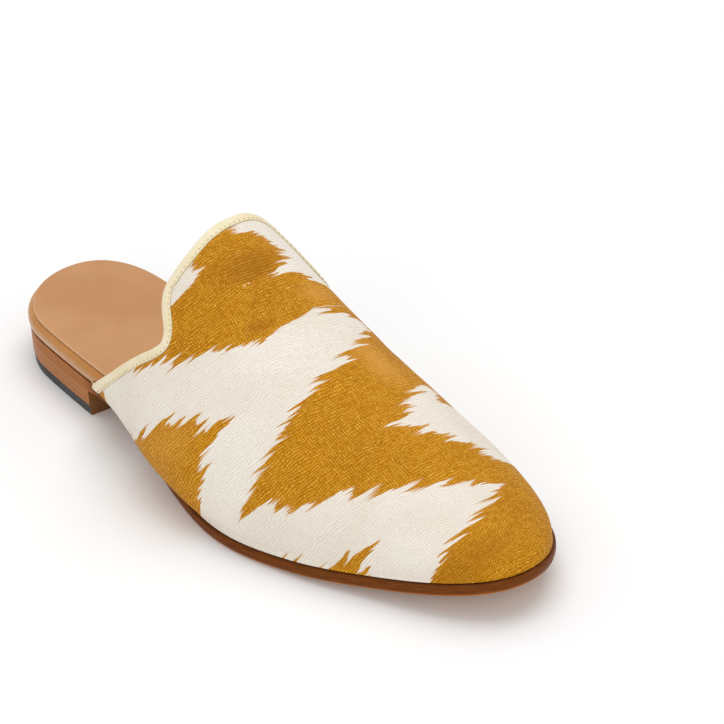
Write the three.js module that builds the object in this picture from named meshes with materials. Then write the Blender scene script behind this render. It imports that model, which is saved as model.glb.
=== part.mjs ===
// Flat backless mule for the right foot: ikat cloth upper with a bound collar,
// wrapped insole, leather outsole and a low stacked heel.
// Millimetres, +Z up. Toe towards -Y, heel towards +Y, outer side of the foot towards -X.
// s is the distance forward from the back of the heel.
import * as THREE from 'three';

// Driving sizes
const length = 272;
const heelArc = 38;
const heelArcPower = 2.03;
const toeArc = 89;
const toeArcPower = 2.1;
const heelBreast = 75;
const wingBack = 78.5;
const ballStart = 166;
const ballEnd = length - toeArc;
const heelHeight = 10.3;
const topLiftHeight = 4.2;
const toeSpring = 10.8;
const soleThickness = 4.4;
const gap = 0.3;

// Shift that brings the origin under the middle of the shoe's own box
const originShiftX = 2.9;
const originShiftY = -0.15;

// Upper
const featherInset = 1.0;
const wall = 2.0;
const toeRoofArc = 60.5;
const toeRoofPower = 2.15;

// Collar binding
const bindingWidth = 4.2;
const bindingProud = 0.7;

// Insole and sock
const insoleAtHeel = 5.6;
const insoleAtBall = 3.0;
const insoleThinStart = 80;
const insoleThinEnd = 140;
const insoleInsideUpper = 4.1;
const insoleToeInset = 4.5;
const sockThickness = 0.8;
const sockInset = 1.7;

// Outline of the sole seen from above: a centre line and the reach to each side.
const plan = [
  { s: 0, centre: 1.5, lateral: 30.6, medial: 27.9 },
  { s: 36, centre: -3.9, lateral: 29.8, medial: 26.9 },
  { s: 72, centre: -2.9, lateral: 32.6, medial: 28.4 },
  { s: 108, centre: 0.6, lateral: 36.3, medial: 30.9 },
  { s: 144, centre: 0.6, lateral: 43.5, medial: 35.0 },
  { s: 176, centre: 1.8, lateral: 47.5, medial: 39.4 },
  { s: 206, centre: 5.1, lateral: 44.9, medial: 40.1 },
  { s: 240, centre: 8.0, lateral: 39.6, medial: 40.0 },
  { s: 272, centre: 7.4, lateral: 36.7, medial: 39.7 },
];

// Top line of the last: height of the ridge over the floor, its shift to the inner side,
// the power of the cross section's curve, and how far each side swells over the feather line.
const instep = [
  { s: 75, ridge: 91.7, shift: 3.6, power: 1.9, outerSwell: 5.0, innerSwell: 5.0 },
  { s: 100, ridge: 90.0, shift: 4.3, power: 2.1, outerSwell: 9.1, innerSwell: 8.0 },
  { s: 125, ridge: 82.1, shift: 5.2, power: 2.35, outerSwell: 10.5, innerSwell: 8.0 },
  { s: 150, ridge: 69.4, shift: 5.5, power: 2.4, outerSwell: 8.8, innerSwell: 6.0 },
  { s: 180, ridge: 54.2, shift: 4.5, power: 2.3, outerSwell: 3.0, innerSwell: 3.0 },
  { s: 210, ridge: 41.1, shift: 3.8, power: 2.25, outerSwell: 1.0, innerSwell: 1.3 },
  { s: 240, ridge: 32.8, shift: 3.6, power: 2.2, outerSwell: 0.6, innerSwell: 0.6 },
  { s: 272, ridge: 31.0, shift: 3.7, power: 2.3, outerSwell: 1.0, innerSwell: 1.0 },
];

// Collar line: t runs round the foot, from -1 on the outer feather line
// over 0 on the ridge to 1 on the inner feather line.
const collar = [
  { t: -1, s: 79 },
  { t: -0.95, s: 88 },
  { t: -0.83, s: 105.6 },
  { t: -0.72, s: 117.9 },
  { t: -0.63, s: 126.7 },
  { t: -0.57, s: 131.9 },
  { t: -0.535, s: 133.7 },
  { t: -0.505, s: 131.8 },
  { t: -0.475, s: 126.2 },
  { t: -0.44, s: 123.1 },
  { t: -0.37, s: 122.3 },
  { t: -0.28, s: 122.4 },
  { t: -0.16, s: 121.6 },
  { t: 0, s: 120.6 },
  { t: 0.14, s: 119.9 },
  { t: 0.26, s: 119.9 },
  { t: 0.32, s: 121.2 },
  { t: 0.365, s: 125 },
  { t: 0.41, s: 129.8 },
  { t: 0.455, s: 133.6 },
  { t: 0.49, s: 134.6 },
  { t: 0.53, s: 133.2 },
  { t: 0.61, s: 127.4 },
  { t: 0.72, s: 117.4 },
  { t: 0.84, s: 104.6 },
  { t: 1, s: 80 },
];

// How finely the solids are divided
const upperColumns = 60;
const upperRows = 20;
const collarSteps = 400;

// Smooth curve through the rows of a table
function curveThrough(rows, x, y) {
  const last = rows.length - 1;
  const span = (i) => rows[i + 1][x] - rows[i][x];
  const rise = (i) => (rows[i + 1][y] - rows[i][y]) / span(i);
  const slopes = rows.map((row, i) => {
    if (i === 0 || i === last) return 0;
    return (span(i) * rise(i - 1) + span(i - 1) * rise(i)) / (span(i - 1) + span(i));
  });
  slopes[0] = 2 * rise(0) - slopes[1];
  slopes[last] = 2 * rise(last - 1) - slopes[last - 1];
  return (value) => {
    let i = 0;
    while (i < last - 1 && value >= rows[i + 1][x]) i += 1;
    const h = span(i);
    const u = THREE.MathUtils.clamp((value - rows[i][x]) / h, 0, 1);
    const start = rows[i][y] * (1 + 2 * u) * (1 - u) ** 2;
    const end = rows[i + 1][y] * u * u * (3 - 2 * u);
    return start + end + h * (slopes[i] * u * (1 - u) ** 2 - slopes[i + 1] * u * u * (1 - u));
  };
}

const centreLine = curveThrough(plan, 's', 'centre');
const lateralReach = curveThrough(plan, 's', 'lateral');
const medialReach = curveThrough(plan, 's', 'medial');
const ridgeHeight = curveThrough(instep, 's', 'ridge');
const ridgeShift = curveThrough(instep, 's', 'shift');
const sectionPower = curveThrough(instep, 's', 'power');
const outerSwell = curveThrough(instep, 's', 'outerSwell');
const innerSwell = curveThrough(instep, 's', 'innerSwell');
const collarLine = curveThrough(collar, 't', 's');

// Quarter of a rounded end: 0 at the tip, 1 where the arc has run out
function roundedEnd(distance, arc, power) {
  const a = THREE.MathUtils.clamp(1 - distance / arc, 0, 1);
  return (1 - a ** power) ** (1 / power);
}

// Height of the outsole's underside over the floor: heel, waist, flat tread, toe spring
function soleBottom(s) {
  const waist = THREE.MathUtils.smoothstep(s, heelBreast, ballStart);
  const toe = Math.max(0, (s - ballEnd) / (length - ballEnd));
  return heelHeight * (1 - waist) + toeSpring * toe ** 2;
}

function soleTop(s) {
  return soleBottom(s) + soleThickness;
}

function insoleTop(s) {
  const thin = THREE.MathUtils.smoothstep(s, insoleThinStart, insoleThinEnd);
  return soleTop(s) + gap + THREE.MathUtils.lerp(insoleAtHeel, insoleAtBall, thin);
}

// Stations along the shoe, close together where the ends are round
function stations(front) {
  const list = [];
  const heelSteps = 9;
  const toeSteps = 15;
  for (let i = 0; i <= heelSteps; i += 1) {
    list.push(heelArc * (1 - Math.cos((i / heelSteps) * Math.PI / 2)));
  }
  list.push(56, heelBreast);
  if (front > heelBreast) {
    const waistSteps = 7;
    for (let i = 0; i < waistSteps; i += 1) {
      list.push(THREE.MathUtils.lerp(wingBack, ballStart, i / waistSteps));
    }
    list.push(ballStart);
    for (let i = 0; i <= toeSteps; i += 1) {
      list.push(length - toeArc * (1 - Math.sin((i / toeSteps) * Math.PI / 2)));
    }
  }
  return list;
}

// Edge point of a layer whose outline is drawn in by inset all round
function edgePoint(station, side, inset, height) {
  let s = station + inset * Math.max(0, 1 - station / heelArc);
  s -= inset * Math.max(0, 1 - (length - station) / toeArc);
  const heel = roundedEnd(s - inset, heelArc, heelArcPower);
  const toe = roundedEnd(length - inset - s, toeArc, toeArcPower);
  const reach = side < 0 ? lateralReach(s) : medialReach(s);
  const x = centreLine(s) + side * (reach - inset) * heel * toe;
  return new THREE.Vector3(x, length / 2 - s, height(s));
}

// Closed ring round the sole: outer side from heel to front, then the inner side back
function soleRing(list, inset, height) {
  const insetAt = typeof inset === 'function' ? inset : () => inset;
  const lateral = list.map((s) => edgePoint(s, -1, insetAt(s), height));
  const medial = list.map((s) => edgePoint(s, 1, insetAt(s), height));
  const pointed = list[list.length - 1] === length;
  const back = medial.slice(1, pointed ? -1 : undefined).reverse();
  return lateral.concat(back);
}

// Mesh geometry from vertices and triangles
function geometryFrom(points, faces) {
  const geometry = new THREE.BufferGeometry();
  const flat = points.flatMap((p) => [p.x, p.y, p.z]);
  geometry.setAttribute('position', new THREE.Float32BufferAttribute(flat, 3));
  geometry.setIndex(faces.flat());
  geometry.computeVertexNormals();
  return geometry;
}

// Slab of the sole's outline: rings from the bottom edge up to the top edge,
// with both faces closed by strips that run across the shoe
function slab(rings) {
  const count = rings[0].length;
  const points = rings.flat();
  const faces = [];
  for (let r = 0; r + 1 < rings.length; r += 1) {
    for (let i = 0; i < count; i += 1) {
      const a = r * count + i;
      const b = r * count + ((i + 1) % count);
      faces.push([a, b, a + count], [b, b + count, a + count]);
    }
  }
  const top = (rings.length - 1) * count;
  for (let i = 0; i < count / 2 - 0.5; i += 1) {
    const left = i;
    const leftNext = i + 1;
    const right = (count - i) % count;
    const rightNext = count - i - 1;
    if (leftNext !== rightNext) {
      faces.push([left, rightNext, leftNext]);
      faces.push([top + left, top + leftNext, top + rightNext]);
    }
    if (right !== left) {
      faces.push([left, right, rightNext]);
      faces.push([top + left, top + rightNext, top + right]);
    }
  }
  return geometryFrom(points, faces);
}

// Point of the upper's form at s and t, depth under its outer face
function lastPoint(s, t, depth) {
  const inset = featherInset + depth;
  const end = length - inset;
  const toe = roundedEnd(end - s, toeArc, toeArcPower);
  const lateral = centreLine(s) - (lateralReach(s) - inset) * toe;
  const medial = centreLine(s) + (medialReach(s) - inset) * toe;
  const feather = soleTop(s) + gap;
  const roof = roundedEnd(end - s, toeRoofArc, toeRoofPower);
  const rise = (ridgeHeight(s) - depth - feather) * roof;
  const ridge = (lateral + medial) / 2 + ridgeShift(s) * toe;
  const angle = (t + 1) * Math.PI / 2;
  const out = Math.abs(Math.cos(angle)) ** (2 / sectionPower(s));
  const up = Math.max(0, Math.sin(angle));
  const side = Math.sign(t);
  const swell = (side < 0 ? outerSwell(s) : innerSwell(s)) * toe * 6.75 * up * (1 - up) ** 2;
  const reach = side < 0 ? ridge - lateral : medial - ridge;
  return new THREE.Vector3(ridge + side * (reach * out + swell), length / 2 - s, feather + rise * up);
}

// The collar line moved forward over the upper by a distance, as count + 1 places (s, t)
function collarOffset(distance, count) {
  const step = 0.01;
  const places = [];
  for (let i = 0; i <= collarSteps; i += 1) {
    const t = THREE.MathUtils.lerp(-1, 1, i / collarSteps);
    const s = collarLine(t);
    const inside = t > 1 - step ? t - step : t;
    const here = lastPoint(s, inside, 0);
    const alongS = lastPoint(s + step, inside, 0).sub(here).divideScalar(step);
    const alongT = lastPoint(s, inside + step, 0).sub(here).divideScalar(step);
    const slope = (collarLine(inside + step) - collarLine(inside)) / step;
    const tangent = alongT.clone().addScaledVector(alongS, slope).normalize();
    const normal = alongS.clone().cross(alongT).normalize();
    const across = tangent.clone().cross(normal);
    if (across.dot(alongS) < 0) across.negate();
    const ss = alongS.dot(alongS);
    const st = alongS.dot(alongT);
    const tt = alongT.dot(alongT);
    const det = ss * tt - st * st;
    const a = across.dot(alongS);
    const b = across.dot(alongT);
    const ds = (a * tt - b * st) / det;
    const dt = (b * ss - a * st) / det;
    places.push({ s: s + distance * ds, t: t + distance * dt });
  }
  const first = places.findIndex((p, i) => i > 0 && p.t > -1 && places[i - 1].t <= -1);
  const last = places.findIndex((p) => p.t >= 1);
  const clipped = distance === 0 ? places : places.slice(first, last);
  if (distance !== 0) {
    const before = places[first - 1];
    const after = places[last];
    const blend = (p, q, edge) => THREE.MathUtils.lerp(p.s, q.s, (edge - p.t) / (q.t - p.t));
    clipped.unshift({ s: blend(before, places[first], -1), t: -1 });
    clipped.push({ s: blend(places[last - 1], after, 1), t: 1 });
  }
  const reach = [0];
  for (let i = 1; i < clipped.length; i += 1) {
    const p = lastPoint(clipped[i - 1].s, clipped[i - 1].t, 0);
    const q = lastPoint(clipped[i].s, clipped[i].t, 0);
    reach.push(reach[i - 1] + p.distanceTo(q));
  }
  const total = reach[reach.length - 1];
  const line = [];
  let k = 0;
  for (let j = 0; j <= count; j += 1) {
    const want = total * j / count;
    while (k < clipped.length - 2 && reach[k + 1] < want) k += 1;
    const u = (want - reach[k]) / (reach[k + 1] - reach[k]);
    line.push({
      s: THREE.MathUtils.lerp(clipped[k].s, clipped[k + 1].s, u),
      t: THREE.MathUtils.lerp(clipped[k].t, clipped[k + 1].t, u),
    });
  }
  line[0].t = -1;
  line[count].t = 1;
  return line;
}

// The hollow upper: outer and inner face from the collar to the toe,
// joined by a rim at the collar and a rim along the feather line
function upperGeometry() {
  const start = collarOffset(bindingWidth + gap, upperColumns);
  const points = [];
  const faces = [];
  const faceStart = [];
  const index = (layer, row, column) => faceStart[layer] + row * (upperColumns + 1) + column;
  [0, wall].forEach((depth) => {
    faceStart.push(points.length);
    const end = length - featherInset - depth;
    for (let row = 0; row < upperRows; row += 1) {
      const forward = Math.sin((row / upperRows) * Math.PI / 2);
      for (let column = 0; column <= upperColumns; column += 1) {
        const even = THREE.MathUtils.lerp(-1, 1, column / upperColumns);
        const t = THREE.MathUtils.lerp(start[column].t, even, THREE.MathUtils.smoothstep(forward, 0, 0.6));
        const s = THREE.MathUtils.lerp(start[column].s, end, forward);
        points.push(lastPoint(s, t, depth));
      }
    }
    points.push(lastPoint(end, 0, depth));
  });
  const tip = faceStart.map((first) => first + upperRows * (upperColumns + 1));
  const quad = (a, b, c, d) => faces.push([a, b, c], [a, c, d]);
  for (let row = 0; row + 1 < upperRows; row += 1) {
    for (let column = 0; column < upperColumns; column += 1) {
      quad(index(0, row, column), index(0, row + 1, column),
        index(0, row + 1, column + 1), index(0, row, column + 1));
      quad(index(1, row, column), index(1, row, column + 1),
        index(1, row + 1, column + 1), index(1, row + 1, column));
    }
    quad(index(0, row, 0), index(1, row, 0), index(1, row + 1, 0), index(0, row + 1, 0));
    quad(index(1, row, upperColumns), index(0, row, upperColumns),
      index(0, row + 1, upperColumns), index(1, row + 1, upperColumns));
  }
  const front = upperRows - 1;
  for (let column = 0; column < upperColumns; column += 1) {
    faces.push([index(0, front, column), tip[0], index(0, front, column + 1)]);
    faces.push([index(1, front, column), index(1, front, column + 1), tip[1]]);
    quad(index(0, 0, column), index(0, 0, column + 1), index(1, 0, column + 1), index(1, 0, column));
  }
  quad(index(0, front, 0), index(1, front, 0), tip[1], tip[0]);
  quad(index(1, front, upperColumns), index(0, front, upperColumns), tip[0], tip[1]);
  return geometryFrom(points, faces);
}

// The binding: a folded strip round the collar, a little proud of both faces of the wall.
// across runs from the collar line (0) to the cloth side (1).
function bindingGeometry() {
  const outer = -bindingProud;
  const inner = wall + bindingProud;
  const profile = [
    { across: 0.3, depth: outer },
    { across: 0.08, depth: outer + 0.45 },
    { across: 0, depth: outer + 1.2 },
    { across: 0, depth: inner - 1.2 },
    { across: 0.08, depth: inner - 0.45 },
    { across: 0.3, depth: inner },
    { across: 0.9, depth: inner },
    { across: 1, depth: inner - 0.4 },
    { across: 1, depth: outer + 0.4 },
    { across: 0.9, depth: outer },
  ];
  const edge = collarOffset(0, upperColumns);
  const cloth = collarOffset(bindingWidth, upperColumns);
  const points = [];
  const faces = [];
  const round = profile.length;
  edge.forEach((from, j) => {
    profile.forEach(({ across, depth }) => {
      const s = THREE.MathUtils.lerp(from.s, cloth[j].s, across);
      const t = THREE.MathUtils.lerp(from.t, cloth[j].t, across);
      points.push(lastPoint(s, t, depth));
    });
  });
  for (let j = 0; j < upperColumns; j += 1) {
    for (let i = 0; i < round; i += 1) {
      const a = j * round + i;
      const b = j * round + ((i + 1) % round);
      faces.push([a, b + round, b], [a, a + round, b + round]);
    }
  }
  const end = upperColumns * round;
  for (let i = 1; i + 1 < round; i += 1) {
    faces.push([0, i, i + 1], [end, end + i + 1, end + i]);
  }
  return geometryFrom(points, faces);
}

// Outsole with a bevel at the ground and a small round at the top of its edge
function outsoleGeometry() {
  const list = stations(length);
  return slab([
    soleRing(list, 1.0, soleBottom),
    soleRing(list, 0.2, (s) => soleBottom(s) + 1.1),
    soleRing(list, 0, (s) => soleBottom(s) + 2.2),
    soleRing(list, 0.1, (s) => soleTop(s) - 0.7),
    soleRing(list, 0.6, soleTop),
  ]);
}

// How far the insole stands in from the sole's outline: flush at the heel,
// inside the upper's wall from the wings forward, clear of the toe's roof
function insoleInset(s) {
  const inside = insoleInsideUpper * THREE.MathUtils.smoothstep(s, heelBreast, wingBack);
  return inside + insoleToeInset * THREE.MathUtils.smoothstep(s, 200, length);
}

// Insole wrapped in leather, with a full round side
function insoleGeometry() {
  const list = stations(length);
  const side = [
    { inset: 1.3, up: 0 },
    { inset: 0.3, up: 0.12 },
    { inset: -0.3, up: 0.4 },
    { inset: -0.2, up: 0.65 },
    { inset: 0.5, up: 0.88 },
    { inset: 1.7, up: 1 },
  ];
  return slab(side.map(({ inset, up }) => {
    const height = (s) => THREE.MathUtils.lerp(soleTop(s) + gap, insoleTop(s), up);
    return soleRing(list, (s) => insoleInset(s) + inset, height);
  }));
}

function sockGeometry() {
  const list = stations(length);
  const inset = (s) => insoleInset(s) + sockInset;
  return slab([
    soleRing(list, inset, (s) => insoleTop(s) + gap),
    soleRing(list, inset, (s) => insoleTop(s) + gap + sockThickness * 0.6),
    soleRing(list, (s) => inset(s) + 0.5, (s) => insoleTop(s) + gap + sockThickness),
  ]);
}

function heelStackGeometry() {
  const list = stations(heelBreast);
  return slab([
    soleRing(list, 0.6, () => topLiftHeight),
    soleRing(list, 0.4, () => topLiftHeight + 0.4),
    soleRing(list, 0.3, () => heelHeight - 0.3),
    soleRing(list, 0.6, () => heelHeight),
  ]);
}

function topLiftGeometry() {
  const list = stations(heelBreast);
  return slab([
    soleRing(list, 0.9, () => 0),
    soleRing(list, 0.4, () => 0.6),
    soleRing(list, 0.3, () => topLiftHeight - 0.3),
    soleRing(list, 0.6, () => topLiftHeight),
  ]);
}

function piece(name, geometry, colour, roughness) {
  const material = new THREE.MeshStandardMaterial({ color: colour, roughness, metalness: 0 });
  const mesh = new THREE.Mesh(geometry, material);
  mesh.name = name;
  return mesh;
}

const mule = new THREE.Group();
mule.position.set(originShiftX, originShiftY, 0);
mule.add(
  piece('upper', upperGeometry(), 0xc68a1f, 0.75),
  piece('collar_binding', bindingGeometry(), 0xe6dab4, 0.55),
  piece('insole', insoleGeometry(), 0xb87f45, 0.35),
  piece('sock_lining', sockGeometry(), 0xcb9869, 0.5),
  piece('outsole', outsoleGeometry(), 0x7a4520, 0.4),
  piece('heel_stack', heelStackGeometry(), 0xb87d52, 0.45),
  piece('top_lift', topLiftGeometry(), 0x323432, 0.7),
);

export default mule;
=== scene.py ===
# %% [markdown]
# # A flat backless mule with an ikat upper
#
# The object is one mule for the right foot: a hollow upper of woven ikat cloth, a folded tape
# round its collar, an insole wrapped in honey leather with a tan sock on it, a leather outsole
# and a low stacked heel with a black rubber lift.
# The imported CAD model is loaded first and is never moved. It gives the place and the size of
# every part. Each visible piece is then built again with many more points, from the same
# sizes, and stands in for its CAD node.

# %% Load the frame
import math

import bpy
import numpy as np
from mathutils import Matrix


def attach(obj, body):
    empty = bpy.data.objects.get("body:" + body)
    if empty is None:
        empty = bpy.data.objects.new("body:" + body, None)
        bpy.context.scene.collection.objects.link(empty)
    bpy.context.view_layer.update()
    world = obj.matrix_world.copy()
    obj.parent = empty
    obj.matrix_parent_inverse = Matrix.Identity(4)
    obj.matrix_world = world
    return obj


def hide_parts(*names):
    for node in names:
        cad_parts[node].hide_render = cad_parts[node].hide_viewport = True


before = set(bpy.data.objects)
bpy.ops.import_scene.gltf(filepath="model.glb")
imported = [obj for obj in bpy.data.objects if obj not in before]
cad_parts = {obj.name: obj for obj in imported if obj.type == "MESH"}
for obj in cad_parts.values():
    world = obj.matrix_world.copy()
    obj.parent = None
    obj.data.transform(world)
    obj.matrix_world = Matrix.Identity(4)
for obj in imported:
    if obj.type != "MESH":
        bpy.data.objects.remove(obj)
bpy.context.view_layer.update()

# %% [markdown]
# ## The sizes of the last
#
# A shoe is made round a last, a foot-shaped form. Its outline and its top line are drawn as a
# few stations, and a smooth curve runs through them. A subdivision cage could be pushed into
# this shape by hand, but a curve through stations gives the same form as the CAD model at any
# fineness, and each number stays a size that a maker could measure. The stations come from
# points picked by eye along the shoe's edges in the photograph: a scratch program solved them
# together with the camera, and they were then rounded and corrected by hand.
# Sizes are in millimetres, and s is the distance forward from the back of the heel.

# %% Driving sizes
LENGTH = 272.0
HEEL_ARC, HEEL_ARC_POWER = 38.0, 2.03
TOE_ARC, TOE_ARC_POWER = 89.0, 2.1
TOE_ROOF_ARC, TOE_ROOF_POWER = 60.5, 2.15
HEEL_BREAST = 75.0
BALL_START, BALL_END = 166.0, LENGTH - TOE_ARC
HEEL_HEIGHT, TOP_LIFT_HEIGHT = 10.3, 4.2
TOE_SPRING, SOLE_THICKNESS, GAP = 10.8, 4.4, 0.3
ORIGIN_SHIFT_X, ORIGIN_SHIFT_Y = 2.9, -0.15
FEATHER_INSET, WALL = 1.0, 2.0
TAPE_WIDTH, TAPE_PROUD = 4.2, 0.7
INSOLE_AT_HEEL, INSOLE_AT_BALL = 5.6, 3.0
INSOLE_THINS_FROM, INSOLE_THINS_TO = 80.0, 140.0
SOCK_INSET = 1.7
MM = 0.001

# the insole stands free at the heel, lies against the upper's wall, and is out of sight at the toe
UPPER_START, WING_FOOT = 79.0, 5.0
TIGHT_START, TIGHT_END = 88.0, 110.0
HIDDEN_START, HIDDEN_END = 150.0, 180.0
TOE_START = 200.0
HIDDEN_INSET, TOE_INSET = 4.1, 4.5

# outline of the sole: station, centre line, reach to the outer and to the inner side
PLAN = [
    (0, 1.5, 30.6, 27.9), (36, -3.9, 29.8, 26.9), (72, -2.9, 32.6, 28.4),
    (108, 0.6, 36.3, 30.9), (144, 0.6, 43.5, 35.0), (176, 1.8, 47.5, 39.4),
    (206, 5.1, 44.9, 40.1), (240, 8.0, 39.6, 40.0), (272, 7.4, 36.7, 39.7),
]

# top line: station, ridge height, its shift inwards, power of the section, outer and inner swell
INSTEP = [
    (75, 91.7, 3.6, 1.9, 5.0, 5.0), (100, 90.0, 4.3, 2.1, 9.1, 8.0),
    (125, 82.1, 5.2, 2.35, 10.5, 8.0), (150, 69.4, 5.5, 2.4, 8.8, 6.0),
    (180, 54.2, 4.5, 2.3, 3.0, 3.0), (210, 41.1, 3.8, 2.25, 1.0, 1.3),
    (240, 32.8, 3.6, 2.2, 0.6, 0.6), (272, 31.0, 3.7, 2.3, 1.0, 1.0),
]

# overhang: station, how far the cloth stands out over the waist of the sole, and how far it sags
OVERHANG = [
    (79, 1.3, 0.5), (92, 2.7, 0.5), (106, 3.2, 0.4), (122, 2.3, 0.3), (142, 1.0, 0.1), (165, 0, 0),
    (272, 0, 0),
]
CURL_END, OVERHANG_END, SAG_END = 0.045, 0.4, 0.16

# the swell is a bump of this form over the side, made 1 mm high by its factor
SWELL_FACTOR = 6.75
# how strongly a yarn falls back towards the heel as it goes down the side
CLOTH_SLANT = 0.62

# collar line: t runs round the foot, -1 outer feather line, 0 ridge, 1 inner feather line
COLLAR = [
    (-1, 79), (-0.95, 88), (-0.83, 105.6), (-0.72, 117.9), (-0.63, 126.7), (-0.57, 131.9),
    (-0.535, 133.7), (-0.505, 131.8), (-0.475, 126.2), (-0.44, 123.1), (-0.37, 122.3),
    (-0.28, 122.4), (-0.16, 121.6), (0, 120.6), (0.14, 119.9), (0.26, 119.9), (0.32, 121.2),
    (0.365, 125), (0.41, 129.8), (0.455, 133.6), (0.49, 134.6), (0.53, 133.2), (0.61, 127.4),
    (0.72, 117.4), (0.84, 104.6), (1, 80),
]


# %% Smooth curves through the stations
def curve_through(places, values):
    """A smooth curve through measured values, as a function of the place."""
    x, y = np.array(places, float), np.array(values, float)
    span = np.diff(x)
    rise = np.diff(y) / span
    slope = np.zeros(len(x))
    slope[1:-1] = (span[1:] * rise[:-1] + span[:-1] * rise[1:]) / (span[:-1] + span[1:])
    slope[0] = 2 * rise[0] - slope[1]
    slope[-1] = 2 * rise[-1] - slope[-2]

    def at(value):
        value = np.asarray(value, float)
        i = np.clip(np.searchsorted(x, value, side="right") - 1, 0, len(x) - 2)
        u = np.clip((value - x[i]) / span[i], 0, 1)
        start = y[i] * (1 + 2 * u) * (1 - u) ** 2
        end = y[i + 1] * u * u * (3 - 2 * u)
        bend = slope[i] * u * (1 - u) ** 2 - slope[i + 1] * u * u * (1 - u)
        return start + end + span[i] * bend

    return at


def table_curve(rows, column):
    return curve_through([r[0] for r in rows], [r[column] for r in rows])


centre_line, lateral_reach, medial_reach = (table_curve(PLAN, c) for c in (1, 2, 3))
ridge_height, ridge_shift, section_power, outer_swell, inner_swell = (
    table_curve(INSTEP, c) for c in (1, 2, 3, 4, 5)
)
overhang, sag = (table_curve(OVERHANG, c) for c in (1, 2))
collar_line = table_curve(COLLAR, 1)
print("width across the ball:", round(float(lateral_reach(176) + medial_reach(176)), 1), "mm")


# %% [markdown]
# ## The form
#
# The layers of the sole share one outline, drawn in by a small inset for each layer. The upper
# is a surface over the last, named by s along the shoe and t round the foot. Every later piece
# asks these two functions for its points, so that the pieces meet as they do on the shoe.

# %% Outline and heights of the sole
def smoothstep(value, low, high):
    u = np.clip((np.asarray(value, float) - low) / (high - low), 0, 1)
    return u * u * (3 - 2 * u)


def blend(a, b, share):
    return a + (b - a) * share


def rounded_end(distance, arc, power):
    a = np.clip(1 - np.asarray(distance, float) / arc, 0, 1)
    return (1 - a**power) ** (1 / power)


def sole_bottom(s):
    waist = smoothstep(s, HEEL_BREAST, BALL_START)
    toe = np.maximum(0, (np.asarray(s, float) - BALL_END) / (LENGTH - BALL_END))
    return HEEL_HEIGHT * (1 - waist) + TOE_SPRING * toe**2


def sole_top(s):
    return sole_bottom(s) + SOLE_THICKNESS


def insole_top(s):
    thinner = smoothstep(s, INSOLE_THINS_FROM, INSOLE_THINS_TO)
    return sole_top(s) + GAP + blend(INSOLE_AT_HEEL, INSOLE_AT_BALL, thinner)


def in_row_frame(x, s, z):
    """Points in millimetres: +Z up, toe towards -Y, outer side of the foot towards -X."""
    x, s, z = np.broadcast_arrays(x, s, z)
    return np.stack([x + ORIGIN_SHIFT_X, LENGTH / 2 - s + ORIGIN_SHIFT_Y, z], -1)


def edge_points(station, side, inset, height):
    """Points of one side of the outline, drawn in by inset."""
    s = station + inset * np.maximum(0, 1 - station / HEEL_ARC)
    s = s - inset * np.maximum(0, 1 - (LENGTH - station) / TOE_ARC)
    heel = rounded_end(s - inset, HEEL_ARC, HEEL_ARC_POWER)
    toe = rounded_end(LENGTH - inset - s, TOE_ARC, TOE_ARC_POWER)
    reach = lateral_reach(s) if side < 0 else medial_reach(s)
    x = centre_line(s) + side * (reach - inset) * heel * toe
    return in_row_frame(x, s, height(s))


# %% The surface of the last
def last_point(s, t, depth=0.0):
    """Point of the upper's form at s and t, depth under its outer face."""
    s, t, depth = np.broadcast_arrays(*(np.asarray(v, float) for v in (s, t, depth)))
    inset = FEATHER_INSET + depth
    end = LENGTH - inset
    toe = rounded_end(end - s, TOE_ARC, TOE_ARC_POWER)
    lateral = centre_line(s) - (lateral_reach(s) - inset) * toe
    medial = centre_line(s) + (medial_reach(s) - inset) * toe
    feather = sole_top(s) + GAP
    roof = rounded_end(end - s, TOE_ROOF_ARC, TOE_ROOF_POWER)
    rise = (ridge_height(s) - depth - feather) * roof
    ridge = (lateral + medial) / 2 + ridge_shift(s) * toe
    angle = (t + 1) * np.pi / 2
    out = np.abs(np.cos(angle)) ** (2 / section_power(s))
    up = np.clip(np.sin(angle), 0, 1)
    side = np.sign(t)
    swell = np.where(side < 0, outer_swell(s), inner_swell(s)) * toe
    swell = swell * SWELL_FACTOR * up * (1 - up) ** 2
    reach = np.where(side < 0, ridge - lateral, medial - ridge)
    curl = smoothstep(up, 0, CURL_END)
    swell = swell + overhang(s) * curl * smoothstep(up, OVERHANG_END, CURL_END)
    drop = sag(s) * curl * smoothstep(up, SAG_END, CURL_END) * np.clip(1 - depth / WALL, 0, 1)
    return in_row_frame(ridge + side * (reach * out + swell), s, feather + rise * up - drop)


def wall_inset(s, side, height):
    """How far in from the outline the upper's inner face is, at a height over its foot."""
    rise = ridge_height(s) - WALL - sole_top(s) - GAP
    t = side * (1 - 2 / np.pi * np.arcsin(np.clip(height / rise, 0, 1)))
    reach = lateral_reach(s) if side < 0 else medial_reach(s)
    return reach - side * (last_point(s, t, WALL)[..., 0] - ORIGIN_SHIFT_X - centre_line(s))


def insole_inset(s, side, height, free, tight):
    """Inset of the insole: free at the heel, against the wall inside the upper."""
    wall = wall_inset(s, side, height) + GAP
    wing = smoothstep(s, UPPER_START, UPPER_START + WING_FOOT)
    start = blend(free, np.maximum(free, wall), wing)
    inside = blend(start, wall + tight, smoothstep(s, TIGHT_START, TIGHT_END))
    toe = HIDDEN_INSET + free + TOE_INSET * smoothstep(s, TOE_START, LENGTH)
    return blend(inside, toe, smoothstep(s, HIDDEN_START, HIDDEN_END))


ROW_ROUNDS = 60


def cloth_row(s, height):
    """Yarn that passes station s at a height: each lies square over the sloping instep."""
    row = np.array(s, float)
    for _ in range(ROW_ROUNDS):
        row = 0.5 * row + 0.5 * (s + CLOTH_SLANT * (ridge_height(row) - height))
    return row


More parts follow.
